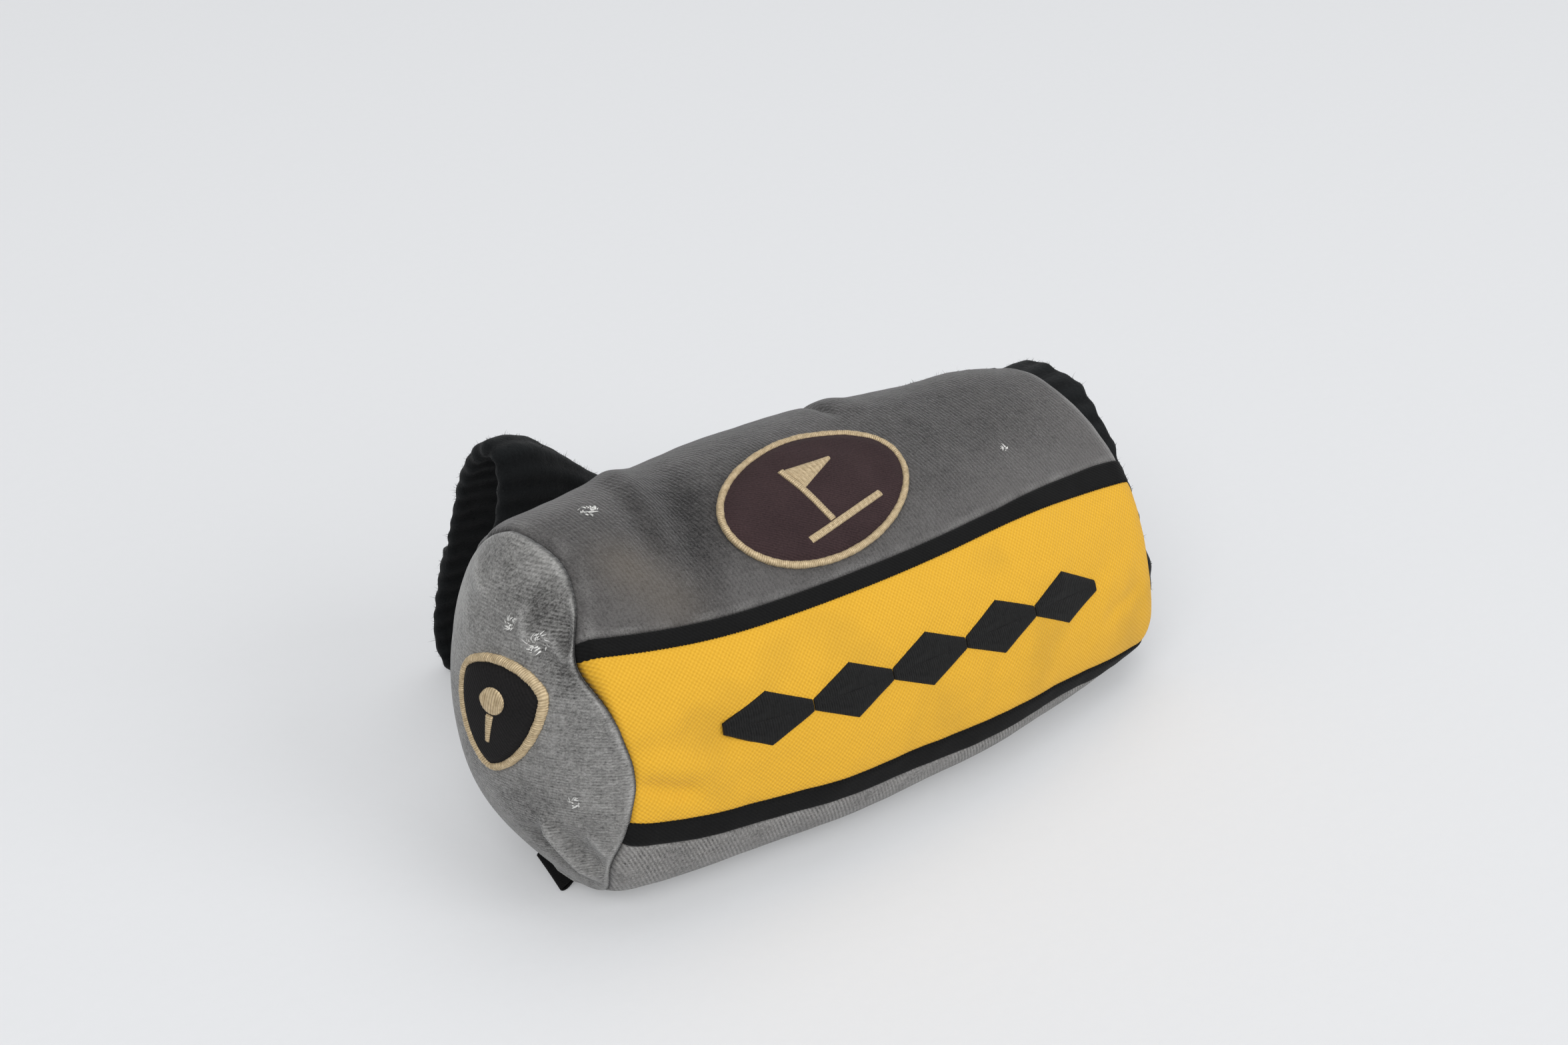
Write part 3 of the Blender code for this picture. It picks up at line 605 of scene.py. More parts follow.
def sock_ring(x, depth=0.0):
    share = (X_ROOT - x) / (X_ROOT - X_MOUTH)
    flare = np.clip((x - X_MOUTH) / SOCK_FLARE, 0, 1)
    height = SOCK_BODY_HEIGHT + (SOCK_MOUTH_HEIGHT - SOCK_BODY_HEIGHT) * (1 + np.cos(pi * flare)) / 2
    middle = SOCK_ROOT_LIFT - SOCK_DROP * share + height / 2
    side, rise = rounded(TURN, SOCK_SQUARENESS)
    rise = rise * height / 2
    y = SOCK_ROOT_Y + SOCK_SPLAY * share + side * SOCK_THICKNESS / 2 - tan(SOCK_LEAN) * rise
    return ring(measured(y, middle + rise, AROUND)[1], x, depth)


def fold_rings(steps):
    """Rings that carry the cuff's end round a flattened half turn to the sock's root."""
    start, end = cuff_ring(X_HINGE), sock_ring(X_ROOT)
    half = (end[:, 1] - start[:, 1]) / 2
    wide = (half - half.min()) / (half.max() - half.min())
    bulge = FOLD_CREASE + (FOLD_BULGE - FOLD_CREASE) * wide
    across, out = rounded(np.linspace(0, pi, steps), 3)
    through = (1 - across)[:, None] / 2
    rows = start + (end - start) * through[:, :, None]
    rows[:, :, 0] = X_HINGE + (X_ROOT - X_HINGE) * through**4 + bulge * out[:, None]
    return rows[1:-1]


def strands(name, root, way, bend, length, width, steps=3):
    """Short strips, one for each root, that set off along way, curve towards bend and taper to a point."""
    count = len(root)
    across = 2 * count - 1
    side = np.cross(way, bend)
    side /= np.maximum(np.linalg.norm(side, axis=1), 1e-9)[:, None]
    bm = bmesh.new()
    bmesh.ops.create_grid(bm, x_segments=across, y_segments=steps, size=0.5)
    between = [f for f in bm.faces if int((f.calc_center_median().x + 0.5) * across) % 2]
    bmesh.ops.delete(bm, geom=between, context="FACES")
    mesh = bpy.data.meshes.new(name)
    bm.to_mesh(mesh)
    bm.free()
    flat = np.empty(len(mesh.vertices) * 3)
    mesh.vertices.foreach_get("co", flat)
    u, v = flat.reshape(-1, 3)[:, 0] + 0.5, flat.reshape(-1, 3)[:, 1] + 0.5
    column = np.rint(u * across).astype(int)
    k, edge = column // 2, (column % 2 - 0.5)[:, None]
    run = v[:, None]
    points = root[k] + length[k][:, None] * (way[k] * run + bend[k] * 0.5 * run**2)
    points += side[k] * edge * width * (1 - 0.85 * run)
    mesh.vertices.foreach_set("co", points.ravel())
    return mesh


def fuzz(rows, normal):
    """Loose fibres on the knit's rows, but not inside the neck, deep in the mouth or on the table."""
    chance = np.random.default_rng(51)
    first, last = 8, len(rows) - 30
    row, column = chance.integers(first, last, FIBRES), chance.integers(0, AROUND, FIBRES)
    clear = rows[row, column, 2] > 1.2 * MM
    row, column, count = row[clear], column[clear], clear.sum()
    way = normal[row, column] + chance.normal(0, 0.6, (count, 3))
    way /= np.linalg.norm(way, axis=1)[:, None]
    bend, length = chance.normal(0, 0.8, (count, 3)), chance.uniform(0.3, 0.9, count) * MM
    return strands("fuzz", rows[row, column], way, bend, length, 0.09 * MM)


def knit_rows():
    """Rings of the knit, from the neck round the fold to the mouth and in again, and which are outside."""
    cuff = [cuff_ring(x) for x in np.linspace(X_CUFF_START, X_HINGE, 6)]
    tube_x = np.concatenate([np.linspace(X_ROOT, X_FLARE, 80), np.linspace(X_FLARE, X_MOUTH, 36)[1:]])
    tube = [sock_ring(x) for x in tube_x]
    lip = []
    for turn in np.linspace(0, pi, 9)[1:-1]:
        row = sock_ring(X_MOUTH, MOUTH_WALL / 2 * (1 - np.cos(turn)))
        row[:, 0] -= MOUTH_WALL / 2 * np.sin(turn)
        lip.append(row)
    inner_x = np.concatenate([np.linspace(X_MOUTH, X_FLARE, 30), np.linspace(X_FLARE, X_INNER_END, 30)[1:]])
    inner = [sock_ring(x, MOUTH_WALL) for x in inner_x]
    closed_ends = [np.broadcast_to(row.mean(axis=0), row.shape) for row in (cuff[0], inner[-1])]
    rows = np.array([closed_ends[0], *cuff, *fold_rings(34), *tube, *lip, *inner, closed_ends[1]])
    # The fold runs into the tube round an eased corner
    first, last = len(cuff) + 21, len(cuff) + 64
    for _ in range(70):
        before, after = rows[first - 1 : last - 1], rows[first + 1 : last + 1]
        rows[first:last] = (before + 2 * rows[first:last] + after) / 4
    return rows, np.arange(len(rows))[:, None] < len(rows) - len(inner) - len(lip) / 2


def row_normals(rows):
    """Outward normals of rings of points."""
    normal = np.cross(np.gradient(rows, axis=0), np.roll(rows, -1, axis=1) - np.roll(rows, 1, axis=1))
    normal /= np.maximum(np.linalg.norm(normal, axis=2), 1e-12)[:, :, None]
    on_tube = len(rows) // 4
    outwards = ((rows[on_tube] - rows[on_tube].mean(axis=0)) * normal[on_tube]).sum()
    return normal * np.sign(outwards)


def build_sock(looks):
    """One tube of rib knit: out of the neck, round the fold, along the back to the mouth and inside again."""
    rows, on_outside = knit_rows()
    normal = row_normals(rows)
    count = len(rows)
    turn = np.linspace(0, 2 * pi, AROUND, endpoint=False)[None, :]
    run = np.cumsum(np.linalg.norm(np.diff(rows, axis=0, prepend=rows[:1]), axis=2).mean(axis=1))[:, None]
    around = turn * 22 * MM
    x, y, z = np.moveaxis(rows, -1, 0)

    # Ribs, slack, more slack behind, a fuller hem and a crumpled neck
    ribs = 0.5 + 0.5 * np.cos(RIBS * turn + 0.3 * uneven(run, turn * 20 * MM, 40 * MM, 41))
    raised = np.where(on_outside, 0.3, 0.28) * MM * (ribs - 0.6)
    raised += 0.5 * MM * uneven(run, around, 34 * MM, 42) * on_outside
    raised += 0.12 * MM * uneven(run, around, 4 * MM, 43)
    behind = np.clip(normal[:, :, 1], 0, 1) * on_outside
    slack = 0.8 * MM * uneven(run, around, 60 * MM, 46) + 0.45 * MM * uneven(run, around, 15 * MM, 47)
    raised += behind * slack
    hem = np.clip(1 - np.abs(x - X_MOUTH - 6 * MM) / (7 * MM), 0, 1) ** 0.5
    raised += 0.5 * MM * hem * on_outside
    near_neck = np.clip((x - 69 * MM) / (2 * MM), 0, 1)
    raised += near_neck * 0.4 * MM * uneven(y, z, 9 * MM, 44)
    raised[0] = raised[-1] = 0
    points = rows + normal * raised[:, :, None]

    # At the neck the knit stays back behind the stripe and bulges out over the crown's end
    round_neck = ((turn / (2 * pi) + 0.5) % 1 - 0.5) * GIRTHS[-1]
    held = np.exp(-(((round_neck - 2 * MM) / (22 * MM)) ** 4)) - 0.55 * band(round_neck, -9 * MM, 5 * MM)
    bulged = band(round_neck, 45 * MM, 19 * MM)
    points[:, :, 0] += near_neck * (4.0 * MM * bulged - 2.2 * MM * held)
    # The mouth's edge is wavy
    wave = np.clip(1 - (x - X_MOUTH) / (14 * MM), 0, 1)
    points[:, :, 0] += wave * 1.1 * MM * uneven(z, y, 26 * MM, 45)
    points = np.concatenate([points, points[:, :1]], axis=1)
    ribs = np.concatenate([ribs, ribs[:, :1]], axis=1)
    stitched = np.broadcast_to(run, ribs.shape)

    def at(u, v, values):
        return values[np.rint(v * (count - 1)).astype(int), np.rint(u * AROUND).astype(int)]

    knit = cloth(
        "knit_sock",
        AROUND,
        count - 1,
        lambda u, v: at(u, v, points),
        lambda u, v: (u * RIBS * RIB_PITCH, at(u, v, stitched)),
        lambda u, v: {"rib": at(u, v, ribs)},
        rings="u",
    )
    knit = joined("knit_sock", [knit, fuzz(points, normal)])
    solids = ["neck_cuff", "sock_fold", "sock_tube", "sock_hem"]
    piece = show(knit, looks["knit"], body=None, replaces=solids, slot="black_knit")
    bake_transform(piece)


# Badges and stitching


def on_crown_badge(right, up, height):
    x = OVAL_X + right * np.cos(OVAL_TURN) - up * np.sin(OVAL_TURN)
    s = OVAL_ARC + right * np.sin(OVAL_TURN) + up * np.cos(OVAL_TURN)
    return on_pouch(x, s, height + broad_folds(x, s))


def on_toe_badge(right, up, height):
    y, z = SHIELD_Y + TOE_Y - right, SHIELD_Z + up
    return on_toe(y, z, height + toe_folds(y, z))


def on_stripe(right, up, height):
    s = stripe_middle(right) + up
    return on_pouch(right, s, height + broad_folds(right, s))


def oval_reach(turn):
    return OVAL_LENGTH / 2 * np.cos(turn), OVAL_WIDTH / 2 * np.sin(turn)


def shield_reach(turn):
    stand, change = 1 + SHIELD_TAPER * np.sin(3 * turn), 3 * SHIELD_TAPER * np.cos(3 * turn)
    right, up = stand * np.cos(turn) - change * np.sin(turn), stand * np.sin(turn) + change * np.cos(turn)
    return SHIELD_WIDTH / 2 * right, SHIELD_HEIGHT / 2 * up


def badge_ground(name, reach, place):
    def flat(u, v):
        share, turn = disc(u, v)
        right, up = reach(turn)
        share = share * (1 + 1.2 * BORDER_START / (SHIELD_WIDTH / 2))
        return share * right, share * up, share

    def laid(u, v):
        right, up, share = flat(u, v)
        turned_down = 0.5 * MM * np.clip((share - 0.9) / 0.1, 0, 1) ** 2
        return place(right, up, BADGE_LIFT + BADGE_THICKNESS - turned_down)

    return cloth(name, 48, 48, laid, lambda u, v: flat(u, v)[:2], inside=POUCH_MIDDLE)


def badge_border(name, reach, place, stitch=0.45 * MM):
    """An overlocked rim: a bead of thread laid across the badge's edge, stitch beside stitch."""
    turn = np.linspace(0, 2 * pi, 4001)
    right, up = reach(turn)
    arc = np.concatenate([[0], np.cumsum(np.hypot(np.diff(right), np.diff(up)))])
    stitches = round(arc[-1] / stitch)

    def laid(u, v):
        at = np.interp(u * arc[-1], arc, turn)
        right, up = reach(at)
        ahead = reach(at + 1e-3)
        run = np.hypot(ahead[0] - right, ahead[1] - up)
        out = (ahead[1] - up) / run, -(ahead[0] - right) / run
        round_ = 2 * pi * v
        wound = np.abs(np.sin(pi * (u * stitches + 0.35 * np.cos(round_))))
        swell = 0.88 + 0.12 * wound**0.6 + 0.07 * np.sin(2 * pi * u * 23) * np.sin(2 * pi * u * 41)
        wide = BORDER_START + BORDER_WIDTH / 2 * (1 + swell * np.cos(round_))
        high = BORDER_MIDDLE + BORDER_RISE * swell * np.sin(round_)
        return place(right + wide * out[0], up + wide * out[1], high)

    return cloth(name, stitches * 5, 12, laid, lambda u, v: (u * arc[-1], v * 5 * MM), rings="uv")


def satin(name, lower, upper, place, low, length, pitch=0.55 * MM, height=0.55 * MM, sunk=0.25 * MM):
    """Satin stitch between two edges, each a function of the share along them: thread beside thread."""
    threads = max(4, round(length / pitch))

    def flat(u, v):
        (x0, y0), (x1, y1) = lower(u), upper(u)
        return x0 + (x1 - x0) * v, y0 + (y1 - y0) * v

    def laid(u, v):
        right, up = flat(u, v)
        crown = np.sqrt(np.clip(1 - (2 * v - 1) ** 2, 0, 1))
        ends = np.clip(np.minimum(u, 1 - u) * length / (0.35 * MM), 0, 1) ** 0.5
        grain = np.abs(np.sin(pi * (u * threads + 0.5 * v)))
        return place(right, up, low - sunk + ends * crown**0.7 * (height + 0.16 * MM * grain**0.7))

    return cloth(name, threads * 4, 10, laid, lambda u, v: (u * length, v * 4 * MM), inside=POUCH_MIDDLE)


def line(start, end):
    return lambda u: (start[0] + (end[0] - start[0]) * u, start[1] + (end[1] - start[1]) * u)


def pennant():
    """A pennant on a pole above a ground line."""
    on_top = BADGE_LIFT + BADGE_THICKNESS
    pole, foot, top, hem = 1.7 * MM, -0.27 * OVAL_WIDTH, 0.29 * OVAL_WIDTH, 0.04 * OVAL_WIDTH
    left, fly, ground = -0.09 * OVAL_LENGTH, 0.19 * OVAL_LENGTH, 0.24 * OVAL_LENGTH
    right, tip, blunt = left + pole, (hem + top) / 2, 0.4 * MM
    ground_edges = line((-ground, foot - pole), (ground, foot - pole)), line((-ground, foot), (ground, foot))
    pole_edges = line((right, foot), (right, top)), line((left, foot), (left, top))
    flag_edges = line((right, hem), (fly, tip - blunt)), line((right, top), (fly, tip + blunt))
    return [
        satin("ground", *ground_edges, on_crown_badge, on_top, 2 * ground),
        satin("pole", *pole_edges, on_crown_badge, on_top + 0.1 * MM, top - foot),
        satin("pennant", *flag_edges, on_crown_badge, on_top, fly - left),
    ]


def ball_on_peg():
    """A ball on a tapered peg."""
    on_top = BADGE_LIFT + BADGE_THICKNESS
    ball, ball_up = 0.17 * SHIELD_WIDTH, 0.12 * SHIELD_HEIGHT
    collar, tip = ball_up - ball - 0.02 * SHIELD_HEIGHT, -0.33 * SHIELD_HEIGHT
    stem, point, top = 0.06 * SHIELD_WIDTH, 0.025 * SHIELD_WIDTH, collar + 0.6 * MM

    def half_ball(side):
        return lambda u: (-ball * np.cos(pi * u), ball_up + side * ball * np.sin(pi * u))

    peg_edges = line((point, tip), (stem, top)), line((-point, tip), (-stem, top))
    return [
        satin("ball", half_ball(-1), half_ball(1), on_toe_badge, on_top, 2 * ball),
        satin("peg", *peg_edges, on_toe_badge, on_top, collar - tip),
    ]


def diamond_row():
    """A row of diamonds joined at their points, each sewn as an upper and a lower half."""
    neck, overlap = 1.2 * MM, 0.45 * MM

    def half(left, side):
        """A half's edges, the lower one first."""

        def edge(u):
            rise = neck + (DIAMOND_WIDTH / 2 - neck) * (1 - np.abs(2 * u - 1))
            return left + u * DIAMOND_LENGTH, side * rise

        def middle(u):
            return left + u * DIAMOND_LENGTH, 0 * u - side * overlap

        return (edge, middle) if side < 0 else (middle, edge)

    diamonds = []
    for k in range(DIAMONDS):
        for side in (-1, 1):
            edges = half((k - DIAMONDS / 2) * DIAMOND_LENGTH, side)
            diamonds.append(satin(f"diamond_{k}_{side}", *edges, on_stripe, 0.1 * MM, DIAMOND_LENGTH))
    return diamonds


def build_badges(looks):
    for name, reach, place, colour in (
        ("crown_badge", oval_reach, on_crown_badge, "brown"),
        ("toe_badge", shield_reach, on_toe_badge, "black"),
    ):
        ground = badge_ground(f"{name}_ground", reach, place)
        show(ground, looks[colour], replaces=[name], slot=f"{colour}_twill", thickness=BADGE_CLOTH)
        rim = badge_border(f"{name}_rim", reach, place)
        show(rim, looks["gold"], replaces=[f"{name}_border"], slot="gold_thread")
    for name, stitched, look, solid, slot in (
        ("crown_badge_stitching", pennant(), looks["gold"], "crown_badge_motif", "gold_thread"),
        ("toe_badge_stitching", ball_on_peg(), looks["gold"], "toe_badge_motif", "gold_thread"),
        ("stripe_stitching", diamond_row(), looks["black_thread"], "stripe_motif", "black_twill"),
    ):
        show(joined(name, stitched), look, replaces=[solid], slot=slot, thickness=STITCHED_WALL)


# Tufts of pulled white threads, in millimetres: on the crown x and arc, on the toe y and z, and their reach
CROWN_TUFTS = ((-55.2, 54.8, 1.9), (42.5, 36.8, 0.6))
TOE_TUFTS = ((2.3, 61.4, 1.2), (-4.2, 59.4, 1.7), (-15.5, 30.4, 0.9), (-9.4, 20.2, 1.3))


def build_tufts(looks):
    chance = np.random.default_rng(61)
    roots, ways, bends, lengths = [], [], [], []
    crown = [(on_pouch, crown_height, *tuft) for tuft in CROWN_TUFTS]
    toe = [(on_toe, toe_folds, *tuft) for tuft in TOE_TUFTS]
    for place, height, a, b, reach in crown + toe:
        for turn in chance.uniform(0, 2 * pi, int(26 * reach)):
            far = chance.uniform(0.25, 1.0) * reach * MM
            at = np.array([a * MM + far * np.cos(turn)]), np.array([b * MM + far * np.sin(turn)])
            next_ = at[0] + 0.4 * MM * np.cos(turn + 1), at[1] + 0.4 * MM * np.sin(turn + 1)
            lift = [height(*p) if place is on_toe else height(*p, 20 * MM, 20 * MM) for p in (at, next_)]
            root, ahead = place(*at, lift[0])[0], place(*next_, lift[1])[0]
            above = place(*at, lift[0] + MM)[0]
            out = (above - root) / np.linalg.norm(above - root)
            run = (ahead - root) / np.linalg.norm(ahead - root)
            roots.append(root - 0.05 * MM * out)
            ways.append(run * 0.7 + out * 0.8)
            bends.append(run * 0.6 - out * 1.5 + chance.normal(0, 0.4, 3))
            lengths.append(chance.uniform(0.5, 1.1) * MM)
    laid = [np.array(values) for values in (roots, ways, bends, lengths)]
    made = strands("pulled_threads", *laid, width=0.34 * MM, steps=5)
    show(made, looks["white"], slot="grey_velour")


def build_tab(looks):
    """A folded ribbon caught in the foot of the toe seam."""
    width, reach, slant = 12 * MM, 4.0 * MM, 2.3 * MM
    low, half_gap, wave, root_rise = 0.75 * MM, 0.38 * MM, 0.15 * MM, 2.0 * MM

    def laid(u, v):
        run = 2 * v - 1
        out = np.sqrt(np.clip(1 - run**8, 0, 1))
        x = X_TOE - (reach - slant * u) * (1 - np.abs(run)) ** 0.6
        z = low + half_gap * np.tanh(4 * run) + wave * out * np.sin(3 * u) + root_rise * np.abs(run) ** 3
        return np.stack([x, (u - 0.28) * width, z], axis=-1)

    tab = cloth("seam_ribbon", 24, 40, laid, lambda u, v: (u * 15 * MM, v * 13 * MM))
    show(tab, looks["tape"], replaces=["toe_tab"], slot="black_tape", thickness=0.3 * MM)


def sleeve(name, start, end, depth):
    """A layer round the inside of the pouch, this far behind its skin."""

    def spread(u, v):
        x = start + (end - start) * u
        return x, girth(x) * v

    def place(u, v):
        x, s = spread(u, v)
        s = s % girth(x)
        sunk = depth + seam_roll(x - X_TOE, depth=1.2 * MM, reach=5 * MM)
        return on_pouch(x, s, 0.6 * broad_folds(x, s) - sunk)

    return cloth(name, 70, 110, place, spread, rings="v", inside=POUCH_MIDDLE)


def bowl(name, depth):
    """A layer behind the toe panel, this far from it."""

    def spread(u, v):
        share, turn = disc(u, v)
        rim = on_pouch(np.full_like(u, X_TOE), GIRTHS[0] * turn / (2 * pi), -depth - 1.5 * MM)
        return *toe_spokes(rim, share), share

    def place(u, v):
        y, z, share = spread(u, v)
        x = X_TOE - END_GAP - (TOE_BULGE - depth) * (1 - share**TOE_ROUNDNESS)
        return np.stack([x - 0.5 * toe_folds(y, z) * (1 - share), y, z], axis=-1)

    return cloth(name, 40, 40, place, lambda u, v: spread(u, v)[:2], inside=POUCH_MIDDLE)


def build_inside(looks):
    """Foam, lining and elastic behind the cloth."""
    # How far each layer lies behind the skin, and where the long ones end
    foam, lining, elastic = 2.2 * MM, 5.2 * MM, 6.5 * MM
    ends = X_TOE + 4.5 * MM, X_NECK - 7 * MM

    def pad(mesh, solid):
        show(mesh, looks["foam"], replaces=[solid], slot="padding", thickness=PADDING)

    def back(mesh, solid):
        show(mesh, looks["lining"], replaces=[solid], slot="lining", thickness=LINING)

    pad(sleeve("barrel_foam", *ends, foam), "pouch_padding")
    back(sleeve("barrel_lining", *ends, lining), "pouch_lining")
    pad(bowl("toe_foam", foam), "toe_padding")
    back(bowl("toe_lining_cloth", lining), "toe_lining")
    neck_band = sleeve("neck_band", X_NECK - 12 * MM, X_NECK - 2 * MM, elastic)
    show(neck_band, looks["elastic"], replaces=["neck_elastic"], slot="elastic", thickness=ELASTIC)


# Materials


def node(look, kind, inputs=(), out=0, **settings):
    """Adds a shader node with its settings, its values and its links, and returns one of its outputs.

    Sockets that share a name go by number: a Mix node's colours are inputs 6 and 7 and output 2.
    """
    tree = look.node_tree
    made = tree.nodes.new("ShaderNode" + kind)
    for name, value in settings.items():
        setattr(made, name, value)
    for socket, value in dict(inputs).items():
        if isinstance(value, bpy.types.NodeSocket):
            tree.links.new(value, made.inputs[socket])
        else:
            made.inputs[socket].default_value = value
    return made.outputs[out]


def material(name, roughness, sheen=0.0, specular=0.3, metallic=0.0):
    look = bpy.data.materials.new(name)
    look.use_nodes = True
    shader = look.node_tree.nodes["Principled BSDF"]
    for socket, value in (
        ("Roughness", roughness),
        ("Sheen Weight", sheen),
        ("Sheen Roughness", 0.45),
        ("Specular IOR Level", specular),
        ("Metallic", metallic),
    ):
        shader.inputs[socket].default_value = value
    return look


def finished(look, colour, height, strength, depth):
    """The material with its colour, and with a height pattern as its relief."""
    shader = look.node_tree.nodes["Principled BSDF"]
    look.node_tree.links.new(colour, shader.inputs["Base Color"])
    bump = node(look, "Bump", {"Height": height, "Strength": strength, "Distance": depth})
    look.node_tree.links.new(bump, shader.inputs["Normal"])
    return look


def velour(name, dark, light, lines, pitch, corded, slant=0.0):
    """Short-pile velour on a corded back: matt, with painted light and shade for how the pile leans and the
    light falls, pale where it is rubbed and where a highlight is painted, and with painted shade in seam
    grooves.

    lines is 0 where the cords cross the first weave coordinate and 1 where they cross the second,
    and slant how far they lean.
    """
    look = material(name, 1.0, sheen=0.28, specular=0.04)
    weave = node(look, "UVMap", uv_map="weave")
    sides = node(look, "SeparateXYZ", {0: weave}).node.outputs
    leaning = {0: sides[1 - lines], 1: slant, 2: sides[lines]}
    along_weave = node(look, "Math", leaning, operation="MULTIPLY_ADD")
    sway = node(look, "TexNoise", {"Vector": weave, "Scale": 1 / (6 * MM), "Detail": 2})
    phase = node(look, "Math", {0: along_weave, 1: 2 * pi / pitch}, operation="MULTIPLY")
    phase = node(look, "Math", {0: sway, 1: 3.0, 2: phase}, operation="MULTIPLY_ADD")
    cords = node(look, "Math", {0: phase}, operation="SINE")
    patch = node(look, "TexNoise", {"Vector": weave, "Scale": 1 / (9 * MM), "Detail": 3, "Roughness": 0.6})
    blotch = node(look, "TexNoise", {"Vector": weave, "Scale": 1 / (3.2 * MM), "Detail": 2})
    mottled = {"Vector": weave, "Scale": 1 / (0.95 * MM), "Detail": 2, "Roughness": 0.7}
    mottle = node(look, "TexNoise", mottled)
    close, apart = 1 / (0.35 * MM), 1 / (1.1 * MM)
    stretch = (close, apart, 1) if lines == 0 else (apart, close, 1)
    strokes = node(look, "Mapping", {"Vector": weave, "Scale": stretch})
    pile = node(look, "TexNoise", {"Vector": strokes, "Scale": 1.0, "Detail": 3, "Roughness": 0.7})
    grit = node(look, "TexNoise", {"Vector": weave, "Scale": 1 / (0.38 * MM), "Detail": 2, "Roughness": 0.8})
    # The cords show more in some patches than in others
    shown = node(look, "MapRange", {0: patch, 1: 0.4, 2: 0.65, 3: 0.25 * corded, 4: corded})
    # The tone starts from the pile's painted light and shade
    tone = node(look, "Attribute", out=2, attribute_name="nap_and_painted_light")
    for part, share in ((patch, 0.45), (blotch, 0.4), (mottle, 0.85), (pile, 0.6), (grit, 1.35)):
        off = node(look, "Math", {0: part, 1: 0.5}, operation="SUBTRACT")
        tone = node(look, "Math", {0: off, 1: share, 2: tone}, operation="MULTIPLY_ADD")
    tone = node(look, "Math", {0: cords, 1: shown, 2: tone}, operation="MULTIPLY_ADD", use_clamp=True)
    colour = node(look, "Mix", {0: tone, 6: linear(dark), 7: linear(light)}, out=2, data_type="RGBA")
    # Pale where the pile is rubbed, and a painted highlight along the toe's ridges
    rubbed_and_highlit = node(look, "Attribute", out=2, attribute_name="rubbed_and_highlit")
    worn_and_highlit = node(look, "MapRange", {0: grit, 1: 0.3, 2: 0.6, 3: 0.25, 4: 1.0})
    worn_and_highlit = node(look, "Math", {0: rubbed_and_highlit, 1: worn_and_highlit}, operation="MULTIPLY", use_clamp=True)
    colour = node(look, "Mix", {0: worn_and_highlit, 6: colour, 7: linear("#C4C3C0")}, out=2, data_type="RGBA")
    # Real stains, and painted shade in the seams' grooves
    for mark, tint in (("stain", "#74695A"), ("seam_shade", "#191919")):
        share = node(look, "Attribute", out=2, attribute_name=mark)
        colour = node(look, "Mix", {0: share, 6: colour, 7: linear(tint)}, out=2, data_type="RGBA")
    height = node(look, "Math", {0: cords, 1: 0.14, 2: pile}, operation="MULTIPLY_ADD")
    height = node(look, "Math", {0: mottle, 1: 1.2, 2: height}, operation="MULTIPLY_ADD")
    height = node(look, "Math", {0: grit, 1: 0.6, 2: height}, operation="MULTIPLY_ADD")
    return finished(look, colour, height, 0.6, 0.4 * MM)


def canvas():
    """Plain-weave cotton canvas, 0.5 mm from thread to thread: a fine grid of bumps, soft smudges."""
    look = material("cotton canvas, yellow", 0.85, sheen=0.08, specular=0.15)
    weave = node(look, "UVMap", uv_map="weave")
    split = node(look, "SeparateXYZ", {0: weave})
    sway = node(look, "TexNoise", {"Vector": weave, "Scale": 1 / (5 * MM), "Detail": 2})
    waves = []
    for side in (0, 1):
        phase = node(look, "Math", {0: split.node.outputs[side], 1: pi / (0.5 * MM)}, operation="MULTIPLY")
        phase = node(look, "Math", {0: sway, 1: 2.0, 2: phase}, operation="MULTIPLY_ADD")
        waves.append(node(look, "Math", {0: phase}, operation="SINE"))
    over = node(look, "Math", {0: waves[0], 1: waves[1]}, operation="MULTIPLY")
    fibre = node(look, "TexNoise", {"Vector": weave, "Scale": 1 / (0.3 * MM), "Detail": 2})
    smudge = node(look, "TexNoise", {"Vector": weave, "Scale": 1 / (22 * MM), "Detail": 2, "Roughness": 0.5})
    tone = node(look, "Math", {0: over, 1: 0.2, 2: 0.4}, operation="MULTIPLY_ADD")
    tone = node(look, "Math", {0: fibre, 1: 0.3, 2: tone}, operation="MULTIPLY_ADD", use_clamp=True)
    colour = node(look, "Mix", {0: tone, 6: linear("#C28A14"), 7: linear("#EEBC41")}, out=2, data_type="RGBA")
    dirt = node(look, "MapRange", {0: smudge, 1: 0.52, 2: 0.8, 3: 0.0, 4: 0.35})
    colour = node(look, "Mix", {0: dirt, 6: colour, 7: linear("#A98534")}, out=2, data_type="RGBA")
    # Painted shade where the canvas sinks into the toe seam
    seam_shade = node(look, "Attribute", out=2, attribute_name="seam_shade")
    colour = node(look, "Mix", {0: seam_shade, 6: colour, 7: linear("#6A4A10")}, out=2, data_type="RGBA")
    height = node(look, "Math", {0: fibre, 1: 0.4, 2: over}, operation="MULTIPLY_ADD")
    return finished(look, colour, height, 0.45, 0.2 * MM)


